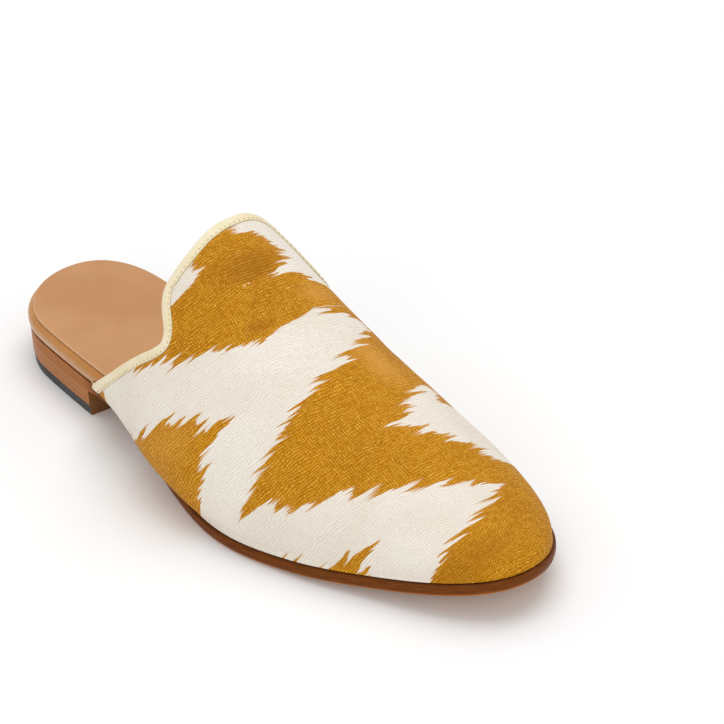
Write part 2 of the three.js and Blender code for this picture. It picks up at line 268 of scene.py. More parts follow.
def unit(v):
    return v / np.maximum(np.linalg.norm(v, axis=-1, keepdims=True), 1e-9)


def last_normal(s, t):
    """Direction straight out of the upper at s and t."""
    step = 0.01
    s = np.minimum(s, LENGTH - FEATHER_INSET - 2 * step)
    inside = np.where(t > 1 - step, t - step, t)
    here = last_point(s, inside)
    along_s = last_point(s + step, inside) - here
    along_t = last_point(s, inside + step) - here
    return unit(np.cross(along_t, along_s)) * -1.0


def girth(s, t):
    """Signed distance in mm over the upper, round the foot, from the ridge to t."""
    i = np.clip((s - GIRTH_S[0]) / (GIRTH_S[1] - GIRTH_S[0]), 0, len(GIRTH_S) - 1.001)
    j = np.clip((t + 1) / 2 * (len(GIRTH_T) - 1), 0, len(GIRTH_T) - 1.001)
    i0, j0 = i.astype(int), j.astype(int)
    a, b = i - i0, j - j0
    low = blend(GIRTH[i0, j0], GIRTH[i0, j0 + 1], b)
    high = blend(GIRTH[i0 + 1, j0], GIRTH[i0 + 1, j0 + 1], b)
    return blend(low, high, a)


GIRTH_S = np.linspace(76, LENGTH - FEATHER_INSET - 0.05, 391)
GIRTH_T = np.linspace(-1, 1, 801)
_surface = last_point(GIRTH_S[:, None], GIRTH_T[None, :])
_steps = np.linalg.norm(np.diff(_surface, axis=1), axis=2)
GIRTH = np.concatenate([np.zeros((len(GIRTH_S), 1)), _steps.cumsum(1)], 1)
GIRTH -= GIRTH[:, len(GIRTH_T) // 2][:, None]
print("girth over the ball:", round(float(GIRTH[200, -1] - GIRTH[200, 0]), 1), "mm")


# %% The collar line, moved forward over the surface
def collar_offset(distance, count):
    """The collar line moved forward by a distance, as count + 1 places (s, t) evenly apart."""
    step = 0.01
    t = np.linspace(-1, 1, 2001)
    s = collar_line(t)
    inside = np.where(t > 1 - step, t - step, t)
    here = last_point(s, inside)
    along_s = (last_point(s + step, inside) - here) / step
    along_t = (last_point(s, inside + step) - here) / step
    slope = (collar_line(inside + step) - collar_line(inside)) / step
    tangent = unit(along_t + along_s * slope[:, None])
    across = np.cross(tangent, unit(np.cross(along_s, along_t)))
    across *= np.where((across * along_s).sum(1) < 0, -1, 1)[:, None]
    ss, st, tt = ((p * q).sum(1) for p, q in
                  ((along_s, along_s), (along_s, along_t), (along_t, along_t)))
    a, b = (across * along_s).sum(1), (across * along_t).sum(1)
    det = ss * tt - st * st
    s = s + distance * (a * tt - b * st) / det
    t = t + distance * (b * ss - a * st) / det
    if distance:
        first = int(np.argmax(t > -1)) if t[0] <= -1 else 0
        last = int(np.argmax(t >= 1)) if (t >= 1).any() else len(t)
        s0 = np.interp(-1, t[first - 1:first + 1], s[first - 1:first + 1]) if first else s[0]
        s1 = np.interp(1, t[last - 1:last + 1], s[last - 1:last + 1]) if last < len(t) else s[-1]
        s = np.concatenate([[s0], s[first:last], [s1]])
        t = np.concatenate([[-1], t[first:last], [1]])
    steps = np.linalg.norm(np.diff(last_point(s, t), axis=0), axis=1)
    reach = np.concatenate([[0], steps.cumsum()])
    want = np.linspace(0, reach[-1], count + 1)
    s, t = np.interp(want, reach, s), np.interp(want, reach, t)
    t[0], t[-1] = -1, 1
    return s, t, reach[-1]


print("collar length:", round(collar_offset(0, 10)[2], 1), "mm")

# %% [markdown]
# ## Camera
#
# The photograph looks down on the outer side of the toe through a long lens. Its place was
# solved together with the stations above, and the small roll is the photographer's. It is
# written as a direction, a distance and a target.

# %% Camera
CAMERA_AZIMUTH, CAMERA_ELEVATION = math.radians(-34.2), math.radians(28.621)
CAMERA_ROLL, CAMERA_DISTANCE = math.radians(-3.026), 0.826511
CAMERA_TARGET = np.array([0.0403, -0.00818, 0.025])
FOCAL_PIXELS, PICTURE_SIDE = 2356.071, 724

back = np.array([
    math.sin(CAMERA_AZIMUTH) * math.cos(CAMERA_ELEVATION),
    -math.cos(CAMERA_AZIMUTH) * math.cos(CAMERA_ELEVATION),
    math.sin(CAMERA_ELEVATION),
])
right = np.array([math.cos(CAMERA_AZIMUTH), math.sin(CAMERA_AZIMUTH), 0.0])
upward = np.cross(back, right)
camera_x = right * math.cos(CAMERA_ROLL) + upward * math.sin(CAMERA_ROLL)
camera_y = -right * math.sin(CAMERA_ROLL) + upward * math.cos(CAMERA_ROLL)

lens = bpy.data.cameras.new("photo_camera")
lens.sensor_width = 36.0
lens.lens = 36.0 * FOCAL_PIXELS / PICTURE_SIDE
lens.clip_start, lens.clip_end = 0.01, 20.0
camera = bpy.data.objects.new("photo_camera", lens)
bpy.context.scene.collection.objects.link(camera)
camera_place = Matrix.Identity(4)
for row in range(3):
    camera_place[row][0] = camera_x[row]
    camera_place[row][1] = camera_y[row]
    camera_place[row][2] = back[row]
    camera_place[row][3] = CAMERA_TARGET[row] + back[row] * CAMERA_DISTANCE
camera.matrix_world = camera_place
bpy.context.scene.camera = camera
print("lens", round(lens.lens, 1), "mm, camera at", [round(v, 3) for v in camera.location])

# %% [markdown]
# ## Small helpers
#
# A mesh is made from points in millimetres and lists of faces. A material is a tree of nodes,
# and a bench adds nodes to a tree and wires them in one line each. Colours are written as a
# painter reads them off a screen and turned into the linear values that light is counted in.

# %% Mesh helper
def make_mesh(name, points, faces, materials, slots=None, uv=None, sharp=40.0):
    """A mesh object at the origin, from points in mm. uv is one pair in mm for each point."""
    mesh = bpy.data.meshes.new(name)
    mesh.from_pydata((np.asarray(points) * MM).tolist(), [], [list(map(int, f)) for f in faces])
    for material in materials:
        mesh.materials.append(material)
    if slots is not None:
        mesh.polygons.foreach_set("material_index", np.asarray(slots, np.int32))
    if uv is not None:
        corner = np.zeros(len(mesh.loops), np.int32)
        mesh.loops.foreach_get("vertex_index", corner)
        layer = mesh.uv_layers.new(name="cloth")
        layer.data.foreach_set("uv", (np.asarray(uv)[corner] * MM).astype(np.float32).ravel())
    mesh.update()
    mesh.shade_smooth()
    mesh.set_sharp_from_angle(angle=math.radians(sharp))
    piece = bpy.data.objects.new(name, mesh)
    bpy.context.scene.collection.objects.link(piece)
    report_mesh(piece)
    return piece


def report_mesh(piece):
    """Prints the size of a mesh, and its volume, which is positive if its faces look out."""
    mesh = piece.data
    mesh.calc_loop_triangles()
    corner = np.zeros(len(mesh.loop_triangles) * 3, np.int32)
    mesh.loop_triangles.foreach_get("vertices", corner)
    place = np.zeros(len(mesh.vertices) * 3, np.float32)
    mesh.vertices.foreach_get("co", place)
    a, b, c = (place.reshape(-1, 3)[corner.reshape(-1, 3)[:, k]].astype(float) for k in range(3))
    volume = (a * np.cross(b, c)).sum() / 6 * 1e6
    print(f"{piece.name}: {len(mesh.loop_triangles)} triangles, {volume:.2f} cm3")


def grid_faces(first, rows, columns, flip=False):
    """Quads between rows + 1 lines of columns + 1 points, the first of which is first."""
    r, c = np.meshgrid(np.arange(rows), np.arange(columns), indexing="ij")
    a = first + r * (columns + 1) + c
    quads = np.stack([a, a + columns + 1, a + columns + 2, a + 1], -1).reshape(-1, 4)
    return quads[:, ::-1] if flip else quads


# %% Node helper
def paint(code):
    """Linear colour from a six-figure screen colour."""
    parts = [int(code[i:i + 2], 16) / 255 for i in (0, 2, 4)]
    return [c / 12.92 if c <= 0.04045 else ((c + 0.055) / 1.055) ** 2.4 for c in parts] + [1.0]


class Bench:
    """Adds nodes to a tree and wires them. A value is a number, a colour or another socket."""

    def __init__(self, tree):
        self.tree = tree

    def feed(self, socket, value):
        if isinstance(value, bpy.types.NodeSocket):
            self.tree.links.new(value, socket)
        else:
            socket.default_value = value

    def add(self, kind, inputs=None, **settings):
        node = self.tree.nodes.new(kind)
        for key, value in settings.items():
            setattr(node, key, value)
        for key, value in (inputs or {}).items():
            self.feed(node.inputs[key], value)
        return node

    def math(self, operation, *values, clamp=False):
        node = self.add("ShaderNodeMath", operation=operation, use_clamp=clamp)
        for socket, value in zip(node.inputs, values):
            self.feed(socket, value)
        return node.outputs[0]

    def times(self, a, b, clamp=False):
        return self.math("MULTIPLY", a, b, clamp=clamp)

    def plus(self, a, b, clamp=False):
        return self.math("ADD", a, b, clamp=clamp)

    def minus(self, a, b):
        return self.math("SUBTRACT", a, b)

    def over(self, a, b):
        return self.math("DIVIDE", a, b)

    def place(self):
        """The piece's own coordinates, in metres."""
        return self.add("ShaderNodeTexCoord").outputs["Object"]

    def ramp(self, value, low, high, start=0.0, end=1.0, smooth=True):
        kind = "SMOOTHSTEP" if smooth else "LINEAR"
        inputs = {0: value, 1: low, 2: high, 3: start, 4: end}
        return self.add("ShaderNodeMapRange", inputs, interpolation_type=kind).outputs[0]

    def mix(self, factor, a, b, blend_type="MIX"):
        inputs = {0: factor, 6: a, 7: b}
        node = self.add("ShaderNodeMix", inputs, data_type="RGBA", blend_type=blend_type)
        return node.outputs[2]

    def noise(self, vector, scale, detail=2.0, roughness=0.5, size="3D"):
        inputs = {"Scale": scale, "Detail": detail, "Roughness": roughness}
        inputs["W" if size == "1D" else "Vector"] = vector
        return self.add("ShaderNodeTexNoise", inputs, noise_dimensions=size).outputs[0]

    def random(self, value):
        return self.add("ShaderNodeTexWhiteNoise", {"W": value}, noise_dimensions="1D").outputs[0]

    def join(self, x, y, z=0.0):
        return self.add("ShaderNodeCombineXYZ", {0: x, 1: y, 2: z}).outputs[0]

    def group(self, tree, inputs):
        node = self.add("ShaderNodeGroup")
        node.node_tree = tree
        for key, value in inputs.items():
            self.feed(node.inputs[key], value)
        return node.outputs


def new_group(name, inputs, outputs):
    """An empty shader group with named inputs {name: default} and named outputs."""
    tree = bpy.data.node_groups.new(name, "ShaderNodeTree")
    for label, value in inputs.items():
        kind = "NodeSocketVector" if isinstance(value, tuple) else "NodeSocketFloat"
        socket = tree.interface.new_socket(label, in_out="INPUT", socket_type=kind)
        socket.default_value = value
    for label in outputs:
        tree.interface.new_socket(label, in_out="OUTPUT", socket_type="NodeSocketFloat")
    bench = Bench(tree)
    return bench, bench.add("NodeGroupInput").outputs, bench.add("NodeGroupOutput").inputs


def new_material(name):
    """A material with one Principled shader, and a bench to work on it."""
    material = bpy.data.materials.new(name)
    material.use_nodes = True
    material.node_tree.nodes.clear()
    bench = Bench(material.node_tree)
    shader = bench.add("ShaderNodeBsdfPrincipled")
    output = bench.add("ShaderNodeOutputMaterial")
    bench.feed(output.inputs["Surface"], shader.outputs[0])
    return material, bench, shader


def finish_surface(bench, shader, color, roughness, height, depth, strength=1.0):
    """Wires colour, roughness and a bump of the given depth in mm to the shader."""
    settings = {"Strength": strength, "Distance": depth * MM, "Height": height}
    bump = bench.add("ShaderNodeBump", settings)
    bench.feed(shader.inputs["Base Color"], color)
    bench.feed(shader.inputs["Roughness"], roughness)
    bench.feed(shader.inputs["Normal"], bump.outputs[0])


# %% [markdown]
# ## Shared effects
#
# Four effects appear on more than one material, so each is a group of nodes with named inputs:
# the weave of a cloth, the grain of leather, slow blotches of tone, and fibres that run one way.
# A picture of each could be wrapped round the piece, but nodes have no edge, no seam and no
# fixed fineness, and their sizes are real ones, in millimetres.

# %% Weave
MEANDER = 1.3


def build_weave():
    """Ribs of short beads that run across, crossed by ribs the other way where the cloth turns."""
    bench, given, gives = new_group(
        "weave",
        {"Across": 0.0, "Row": 0.0, "Yarn": 1.0, "Bead": 1.3, "Turned": 0.0},
        ("Height", "Groove shade", "Yarn tone"),
    )

    def stray(slow_seed, quick_seed):
        """How far a thread strays, in mm: a slow meander with a quick jitter on it."""
        slow = bench.noise(bench.join(given["Across"], given["Row"], slow_seed), 0.2, 1.0)
        quick = bench.noise(bench.join(given["Across"], given["Row"], quick_seed), 0.62, 1.0)
        return bench.plus(bench.times(bench.minus(slow, 0.5), MEANDER), bench.minus(quick, 0.5))

    across = bench.plus(given["Across"], stray(7.0, 11.0))
    row = bench.over(bench.plus(given["Row"], stray(1.0, 17.0)), given["Yarn"])
    number = bench.math("FLOOR", row)

    def wave(value, sharp):
        """1 on the crown of each thread and 0 between two threads."""
        inside = bench.math("ABSOLUTE", bench.minus(bench.math("FRACT", value), 0.5))
        return bench.minus(1.0, bench.math("POWER", bench.times(inside, 2.0), sharp))

    luck = bench.times(bench.random(number), 5.0)
    drift = bench.noise(bench.join(across, given["Row"], 3.0), 0.5, 1.0)
    bead = bench.plus(bench.over(across, given["Bead"]), luck)
    bead = wave(bench.plus(bead, bench.times(drift, 1.5)), 2.5)
    ribs = bench.times(wave(row, 2.0), bench.ramp(bead, 0.0, 0.9, 0.2, 1.0))
    other = bench.plus(bench.over(across, given["Bead"]), bench.times(row, 0.12))
    cross = bench.times(wave(other, 1.8), bench.ramp(wave(row, 2.0), 0.0, 0.8, 0.35, 1.0))
    turn = bench.noise(bench.join(across, given["Row"], 5.0), 0.06, 1.0)
    turn = bench.times(bench.ramp(turn, 0.38, 0.58), given["Turned"])
    height = bench.plus(bench.times(ribs, bench.minus(1.0, turn)), bench.times(cross, turn))
    uneven = bench.noise(bench.join(across, given["Row"], 9.0), 0.95, 2.0)
    height = bench.times(height, bench.ramp(uneven, 0.3, 0.65, 0.5, 1.15))
    slow = bench.noise(bench.join(bench.times(across, 0.07), number), 1.0, 2.0)
    bench.feed(gives["Height"], height)
    # painted shade: this output darkens the colour between threads
    bench.feed(gives["Groove shade"], bench.ramp(height, 0.12, 0.62, 1.0, 0.0))
    bench.feed(gives["Yarn tone"], slow)
    return bench.tree


WEAVE = build_weave()


# %% Leather grain, blotches and fibres
def build_grain():
    """Fine pebbles and pores of finished leather. Place is in metres."""
    bench, given, gives = new_group(
        "leather grain", {"Place": (0.0, 0.0, 0.0), "Pebble": 0.7}, ("Height", "Pores"))
    scale = bench.over(1000.0, given["Pebble"])
    cells = bench.add(
        "ShaderNodeTexVoronoi", {"Vector": given["Place"], "Scale": scale}, feature="SMOOTH_F1")
    fine = bench.noise(given["Place"], bench.times(scale, 2.3), 3.0)
    height = bench.plus(bench.times(cells.outputs["Distance"], 0.6),
                        bench.times(fine, 0.4))
    pores = bench.noise(given["Place"], bench.times(scale, 0.9), 2.0)
    bench.feed(gives["Height"], height)
    bench.feed(gives["Pores"], bench.ramp(pores, 0.62, 0.75))
    return bench.tree


def build_blotches():
    """Slow unevenness of a dye or a polish: 0 to 1 over patches of the given size in mm."""
    bench, given, gives = new_group(
        "blotches", {"Place": (0.0, 0.0, 0.0), "Patch": 20.0}, ("Tone", "Fine tone"))
    scale = bench.over(1000.0, given["Patch"])
    slow = bench.noise(given["Place"], scale, 3.0)
    quick = bench.noise(given["Place"], bench.times(scale, 5.0), 3.0)
    bench.feed(gives["Tone"], bench.ramp(slow, 0.3, 0.7))
    bench.feed(gives["Fine tone"], bench.ramp(quick, 0.3, 0.7))
    return bench.tree


def build_fibres():
    """Streaks along the edge of cut leather. Along and Up are in mm."""
    bench, given, gives = new_group(
        "cut fibres", {"Along": 0.0, "Up": 0.0, "Length": 9.0, "Width": 0.35}, ("Streak",))
    place = bench.join(bench.over(given["Along"], given["Length"]),
                       bench.over(given["Up"], given["Width"]))
    bench.feed(gives["Streak"], bench.noise(place, 1.0, 3.0, 0.6))
    return bench.tree


GRAIN, BLOTCHES, FIBRES = build_grain(), build_blotches(), build_fibres()
print("shared effects:", [tree.name for tree in bpy.data.node_groups])

# %% [markdown]
# ## The ikat
#
# In an ikat the yarns are tied and dyed before they are woven, so the pattern's edges are
# ragged: each yarn starts to take the dye a little earlier or later than its neighbour. The
# yarns here run round the foot, and because the instep slopes, each one falls back towards the
# heel as it goes down the side. Each edge of the pattern is charted in the shoe's own sizes:
# for a yarn (its row), how far round from the ridge (u, negative on the outer side) the dye
# starts. A Float Curve node holds each chart. Yarn by yarn luck then moves the edge a little,
# which gives the ragged steps and the loose single threads.
# Where the photograph shows an edge, its points were picked there by eye, a scratch program
# turned each point into these two sizes, and they were rounded and corrected by hand. The side
# that faces away is made up in the same manner, as such a cloth would go on.

# %% Charts of the pattern's edges
FAR = 120.0

# first tongue at the collar: the dye covers what lies inward of this line
THROAT_OUTER = [
    (112, -22), (129, -22), (131, -22), (132.4, -23), (133.2, -19), (134.3, -21), (135, -25),
    (136, -26.5), (136.8, -30), (137.5, -33), (137.9, -38), (138.3, -62), (147, -62), (147.6, -56),
    (148.6, -54), (149.6, -49), (151.2, -51), (152.2, -45), (155, -51), (155.4, -40), (156.9, -41),
    (157.2, -32), (159.4, -33), (159.7, -29), (160.2, -31), (160.6, -26), (162, -27), (162.3, -22),
    (163, -24), (163.3, -19), (165.4, -20.5), (165.8, -16), (166.2, FAR),
]
# and what lies outward of this one
THROAT_INNER = [
    (160.8, FAR), (161.4, 3), (162.7, -1), (163.5, -7), (164, -10), (164.5, -13), (165.8, -16),
]
# the vamp: the dye covers what lies inward of this line
VAMP_OUTER = [
    (160.8, FAR), (161.4, 3), (162.2, 13), (163.2, 12), (164.1, 4), (164.4, 11), (164.9, 18),
    (166.4, 20), (166.9, 25), (168.5, 28), (169.8, 29), (170.2, 22), (171, 29), (174, 17), (175, 23),
    (176.5, 7), (178.6, 14), (180.1, -2), (181.2, 5), (182.3, 1), (183.2, 3), (184, -8), (185.4, -14),
    (186.6, -9), (187.6, -17), (188.1, -13), (188.8, -26), (190, -21), (190.7, -26), (191.1, -22),
    (191.6, -31), (192.4, -27), (193, -31), (193.5, -29), (194.1, -37), (194.8, -33), (195.3, -37),
    (195.9, -32), (196.7, -43), (198, -39), (198.9, -49), (200.5, -45), (201.8, -55), (202.6, -51),
    (203.5, -57), (206, -66), (206.6, -62), (207, -59), (207.7, -56), (208.5, -50), (209.3, -54),
    (209.7, -49), (213.2, -53), (213.6, -46), (216.6, -51), (217, -42), (219.5, -44), (220.4, -39),
    (220.8, -35), (221.2, -30.5), (223, -30), (225, -32), (225.5, -29), (225.9, -24), (226.4, -22),
    (229, -28), (229.6, -22), (230.3, -18), (231.2, -12), (232.5, -19), (233, -15), (234.7, -13.5),
    (235.2, -6), (236.5, -5), (237.7, -7), (238.4, -2), (239.8, 1), (242, -2.5), (242.6, 2), (244, 6),
    (245.3, 10), (246.3, 11), (247.1, 4), (248.2, 7), (249.1, -1), (250.5, 4), (252.4, -8), (253, -4),
    (253.6, -10), (255.2, -6), (256.2, -15), (256.8, -21), (257.7, -16), (258.3, -13), (259.4, -27),
    (260.6, -22), (261.7, -26), (262.3, -24), (262.8, -29), (263.5, -29), (264.5, -33), (266, -45),
    (267, -FAR),
]
# wedge at the outer feather line, behind the ball: the dye covers what lies below this line
OUTER_WEDGE = [
    (153, -FAR), (154.6, -82), (155.2, -87), (156.4, -90), (156.9, -84), (157.5, -90), (160.8, -81),
    (162.5, -70), (163.2, -78), (164.4, -74), (164.9, -62), (165.9, -57), (167, -60), (168.7, -61),
    (170.3, -53), (171, -59), (172.2, -54), (173, -48), (173.9, -54), (176.2, -48), (176.6, -53),
    (178.6, -48), (179.2, -44), (180.7, -40), (181.6, -46), (182.2, -48), (182.7, -56), (183.6, -56),
    (183.9, -60), (185.5, -62), (187.5, -58), (188.2, -64), (189.3, -65), (189.5, -69), (190.4, -68),
    (190.8, -75), (192.6, -72), (193, -85), (194, -FAR),
]
# small flames that stand on the outer feather line near the toe
TOE_FLAMES = [
    (222.4, -FAR), (222.8, -67), (223.4, -63.5), (224.2, -68), (226.8, -66), (227.4, -60.5),
    (228.2, -66), (233.8, -62), (234.5, -57), (235.1, -61), (235.9, -57), (236.5, -60), (237.2, -55),
    (237.9, -46), (239.2, -48), (239.8, -51), (240.2, -46), (240.6, -42), (241.9, -33), (243, -38),
    (243.8, -43), (244.3, -49), (245.6, -49), (246.6, -45), (247.2, -49), (248.5, -47.5),
    (249.5, -53), (251, -FAR),
]
# undyed at the collar, on the ridge and inward of it
COLLAR_UNDYED = [
    (112, -6), (124, -4), (126.2, -2), (128.4, -2), (128.9, 4), (130.3, 5), (132, 7), (134, 8),
    (136, 9), (139, 12), (139.5, 9), (141, 12), (142.3, 5), (143.4, 8), (143.8, 3), (144.7, 1),
    (146, 1), (146.8, 7), (147.6, 11), (148.4, 13), (150.1, 14), (151.3, 19), (152, 27),
    (152.6, 45), (153.6, 37), (154.6, 56), (155.4, 46), (156.8, 68), (157.6, 59), (159.2, 84),
    (160, FAR),
]
# undyed wedge on the inner side of the vamp: inward of the first line, outward of the second
INNER_FROM = [
    (197.2, FAR), (197.6, 24), (198, 20), (199.6, 14), (200.7, 21), (202.3, 8), (203.1, 10), (203.7, 6),
    (205.5, 9), (206.6, 3), (207.6, 6), (208.6, 1), (209, -6), (210, -2), (212.5, 1), (214.2, 7),
    (215.3, 1), (218.1, 8), (221, 13), (222.3, 7), (226.3, 16), (227.9, 12), (229.1, 21), (230, 14),
    (233, 18), (233.8, 16), (235.5, 23), (236.6, 33), (237.3, 28),
    (238.4, 46), (239.2, 38), (240.6, 60), (241.2, 52), (242.4, 76), (243, FAR),
]
INNER_TO = [
    (197.6, 24), (198, 29), (201, 29), (203.5, 24), (206, 23), (207, 32), (207.8, 46), (208.6, 36),
    (210, 62), (210.8, 50), (212.4, 78), (213.2, FAR),
]
# undyed flames on the inner feather line, where the photo cannot look
INNER_LOW = [
    (168, FAR), (170, 70), (173, 60), (176, 52), (177, 62), (180, 50), (182, 47), (183, 58), (186, 52),
    (188, 50), (190, 63), (193, 60), (196, 74), (199, FAR),
]
# small dyed patch under the end of the binding
END_PATCH = [
    (127, -FAR), (128, -79), (132, -80), (134.6, -82), (135.6, -85), (136.2, -FAR),
]
# painted shade and painted light on the cloth, where it folds away from or towards the light: u and row
# of the middle, reach both ways, strength
SHADE_SPOTS = [(-4, 140.5, 16, 7, 0.62), (-15, 160, 6, 3, 0.5), (-16, 268, 24, 9, 0.45)]
LIGHT_SPOTS = [(13, 185, 8, 16, 0.8), (12, 156, 9, 6, 0.6), (-66, 173, 15, 9, 0.35), (8, 212, 10, 8, 0.3)]
CREASE_ROW = 145.2
NUBS = [(-10.6, 145.6, 0.6, 0.55, 1), (-8.8, 145.3, 0.55, 0.5, 1), (2, 151.9, 0.8, 0.4, 0.7)]


# %% Pattern as a group of nodes
# how far luck moves the dye's edge, in mm: yarn by yarn, in patches, and as small tongues
YARN_LUCK, PATCH_LUCK, TONGUE = 2.6, 3.0, 2.4


def build_ikat():
    """1 where a yarn is dyed. Across is u and Row is the yarn's place, both in mm."""
    bench, given, gives = new_group(
        "ikat", {"Across": 0.0, "Row": 0.0, "Yarn": 1.0, "Fray": 1.0}, ("Dyed", "Edge"))
    across, row = given["Across"], given["Row"]

    def chart(points):
        first, last = points[0][0], points[-1][0]
        share = bench.ramp(row, first, last, smooth=False)
        node = bench.add("ShaderNodeFloatCurve", {"Value": share})
        curve = node.mapping.curves[0]
        while len(curve.points) < len(points):
            curve.points.new(0.5, 0.5)
        for point, (place, u) in zip(curve.points, points):
            point.location = ((place - first) / (last - first), (u + FAR) / (2 * FAR))
            point.handle_type = "VECTOR"
        node.mapping.update()
        return bench.ramp(node.outputs[0], 0.0, 1.0, -FAR, FAR, smooth=False)

    def tongues(offset, width, reach):
        """Pointed tongues: a wave of sharp crests from yarn to yarn."""
        wave = bench.noise(bench.plus(row, offset), 1.0 / width, 1.0, 0.5, "1D")
        crest = bench.math("ABSOLUTE", bench.minus(wave, 0.5))
        return bench.ramp(crest, 0.0, 0.16, reach, 0.0, smooth=False)

    yarn = bench.math("FLOOR", bench.over(row, given["Yarn"]))
    luck = bench.times(bench.minus(bench.random(yarn), 0.5), YARN_LUCK)
    second = bench.random(bench.plus(yarn, 311.0))
    patchy = bench.noise(bench.join(bench.times(across, 0.35), row), 0.9, 2.0)
    patchy = bench.times(bench.minus(patchy, 0.5), PATCH_LUCK)
    small = bench.minus(tongues(1500.0, 1.9, TONGUE), tongues(2100.0, 1.6, TONGUE))
    shift = bench.plus(bench.plus(luck, patchy), small)
    shift = bench.times(shift, given["Fray"])

    def inward(points):
        return bench.plus(bench.minus(across, chart(points)), shift)

    def outward(points):
        return bench.plus(bench.minus(chart(points), across), shift)

    def both(a, b):
        return bench.math("MINIMUM", a, b)

    def either(a, b):
        return bench.math("MAXIMUM", a, b)

    dyed = either(both(inward(THROAT_OUTER), outward(THROAT_INNER)), inward(VAMP_OUTER))
    dyed = both(dyed, outward(COLLAR_UNDYED))
    dyed = both(dyed, either(outward(INNER_FROM), inward(INNER_TO)))
    dyed = both(dyed, outward(INNER_LOW))
    for low in (OUTER_WEDGE, TOE_FLAMES, END_PATCH):
        dyed = either(dyed, outward(low))
    soft = bench.plus(0.7, bench.times(bench.math("POWER", second, 4.0), 5.0))
    mask = bench.plus(0.5, bench.over(dyed, soft), clamp=True)
    bench.feed(gives["Dyed"], mask)
    bench.feed(gives["Edge"], bench.ramp(bench.math("ABSOLUTE", dyed), 0.0, 5.0, 1.0, 0.0))
    return bench.tree


IKAT = build_ikat()
print("points on the main edge of the ikat:", len(VAMP_OUTER))

# %% [markdown]
# ## Cloth materials
#
# The upper's cloth is a ribbed cotton with a slight satin: the undyed yarns are a warm white,
# the dyed ones a mustard. Painted shade darkens both between yarns, and the mustard has a
# painted highlight on the crown of each slub, partly lighter yarn.
# The colour, the roughness and the bump all read the same weave, as they do on real cloth.

# %% Ikat cloth
CLOTH_YARN, CLOTH_BEAD = 0.94, 0.84


def cloth_place(bench):
    uv = bench.add("ShaderNodeUVMap", uv_map="cloth").outputs[0]
    metres = bench.add("ShaderNodeSeparateXYZ", {0: uv}).outputs
    return (bench.times(metres[0], 1000.0), bench.times(metres[1], 1000.0))


def spots(bench, across, row, listed):
    """Soft round patches, each at its own place on the cloth."""
    total = 0.0
    for u, middle, reach_u, reach_row, strength in listed:
        a = bench.over(bench.minus(across, float(u)), float(reach_u))
        b = bench.over(bench.minus(row, float(middle)), float(reach_row))
        away = bench.math("SQRT", bench.plus(bench.times(a, a), bench.times(b, b)))
        total = bench.plus(total, bench.ramp(away, 0.1, 1.3, strength, 0.0))
    return total


def make_ikat_cloth():
    material, bench, shader = new_material("ikat_cloth")
    across, straight = cloth_place(bench)
    sway = bench.noise(bench.join(across, straight), 0.1, 1.0)
    row = bench.plus(straight, bench.times(bench.minus(sway, 0.5), 2.0))
    middle = bench.ramp(bench.math("ABSOLUTE", bench.plus(across, 6.0)), 14.0, 36.0, 1.0, 0.0)
    ikat = bench.group(IKAT, {"Across": across, "Row": row, "Yarn": CLOTH_YARN})
    turned = bench.times(middle, bench.ramp(ikat["Dyed"], 0.0, 1.0, 0.3, 1.0))
    weave = bench.group(WEAVE, {"Across": across, "Row": row, "Yarn": CLOTH_YARN,
                                "Bead": CLOTH_BEAD, "Turned": turned})
    place = bench.place()
    blotch = bench.group(BLOTCHES, {"Place": place, "Patch": 26.0})
    dye = bench.mix(blotch["Tone"], paint("bf7f0c"), paint("cd8c10"))
    dye = bench.mix(bench.ramp(weave["Yarn tone"], 0.35, 0.75, 0.0, 0.35), dye, paint("d99b24"))
    # painted highlight on the crown of each slub, partly the lighter yarn that shows there
    dye = bench.mix(bench.ramp(weave["Height"], 0.72, 1.02, 0.0, 0.55), dye, paint("eab246"))
    # painted shade in the grooves between the mustard yarns
    dye = bench.mix(bench.times(weave["Groove shade"], 0.7), dye, paint("8a5200"))
    dye = bench.mix(bench.times(ikat["Edge"], 0.22), dye, paint("cf8f45"))
    # painted shade: the dye is darkened in soft patches where the cloth lies in shade, cut off sharply
    # at the throat crease
    shade_before_crease = bench.ramp(row, CREASE_ROW - 0.4, CREASE_ROW + 0.4, 1.0, 0.0)
    past_throat = bench.ramp(row, 150.0, 152.0)
    painted_shade = bench.times(spots(bench, across, row, SHADE_SPOTS),
                        bench.math("MAXIMUM", shade_before_crease, past_throat))
    dye = bench.mix(bench.times(painted_shade, 0.85), dye, paint("8f5403"))
    # painted light: the dye is lightened in soft patches where the cloth turns towards the light
    dye = bench.mix(bench.times(spots(bench, across, row, LIGHT_SPOTS), 0.55), dye, paint("e3a551"))
    nub = spots(bench, across, row, NUBS)
    dye = bench.mix(bench.times(nub, 0.8, clamp=True), dye, paint("efcf8c"))
    plain = bench.mix(blotch["Tone"], paint("e9e0d2"), paint("f0e9de"))
    # painted shade in the grooves between the white yarns
    plain = bench.mix(bench.times(weave["Groove shade"], 0.36), plain, paint("b8a994"))
    color = bench.mix(ikat["Dyed"], plain, dye)
    roughness = bench.ramp(weave["Height"], 0.0, 1.0, 0.8, 0.6)
    height = bench.plus(weave["Height"], bench.times(nub, 2.5))
    finish_surface(bench, shader, color, roughness, height, 0.16, 0.5)
    shader.inputs["Sheen Weight"].default_value = 0.03
    shader.inputs["Sheen Roughness"].default_value = 0.4
    shader.inputs["Specular IOR Level"].default_value = 0.12
    return material


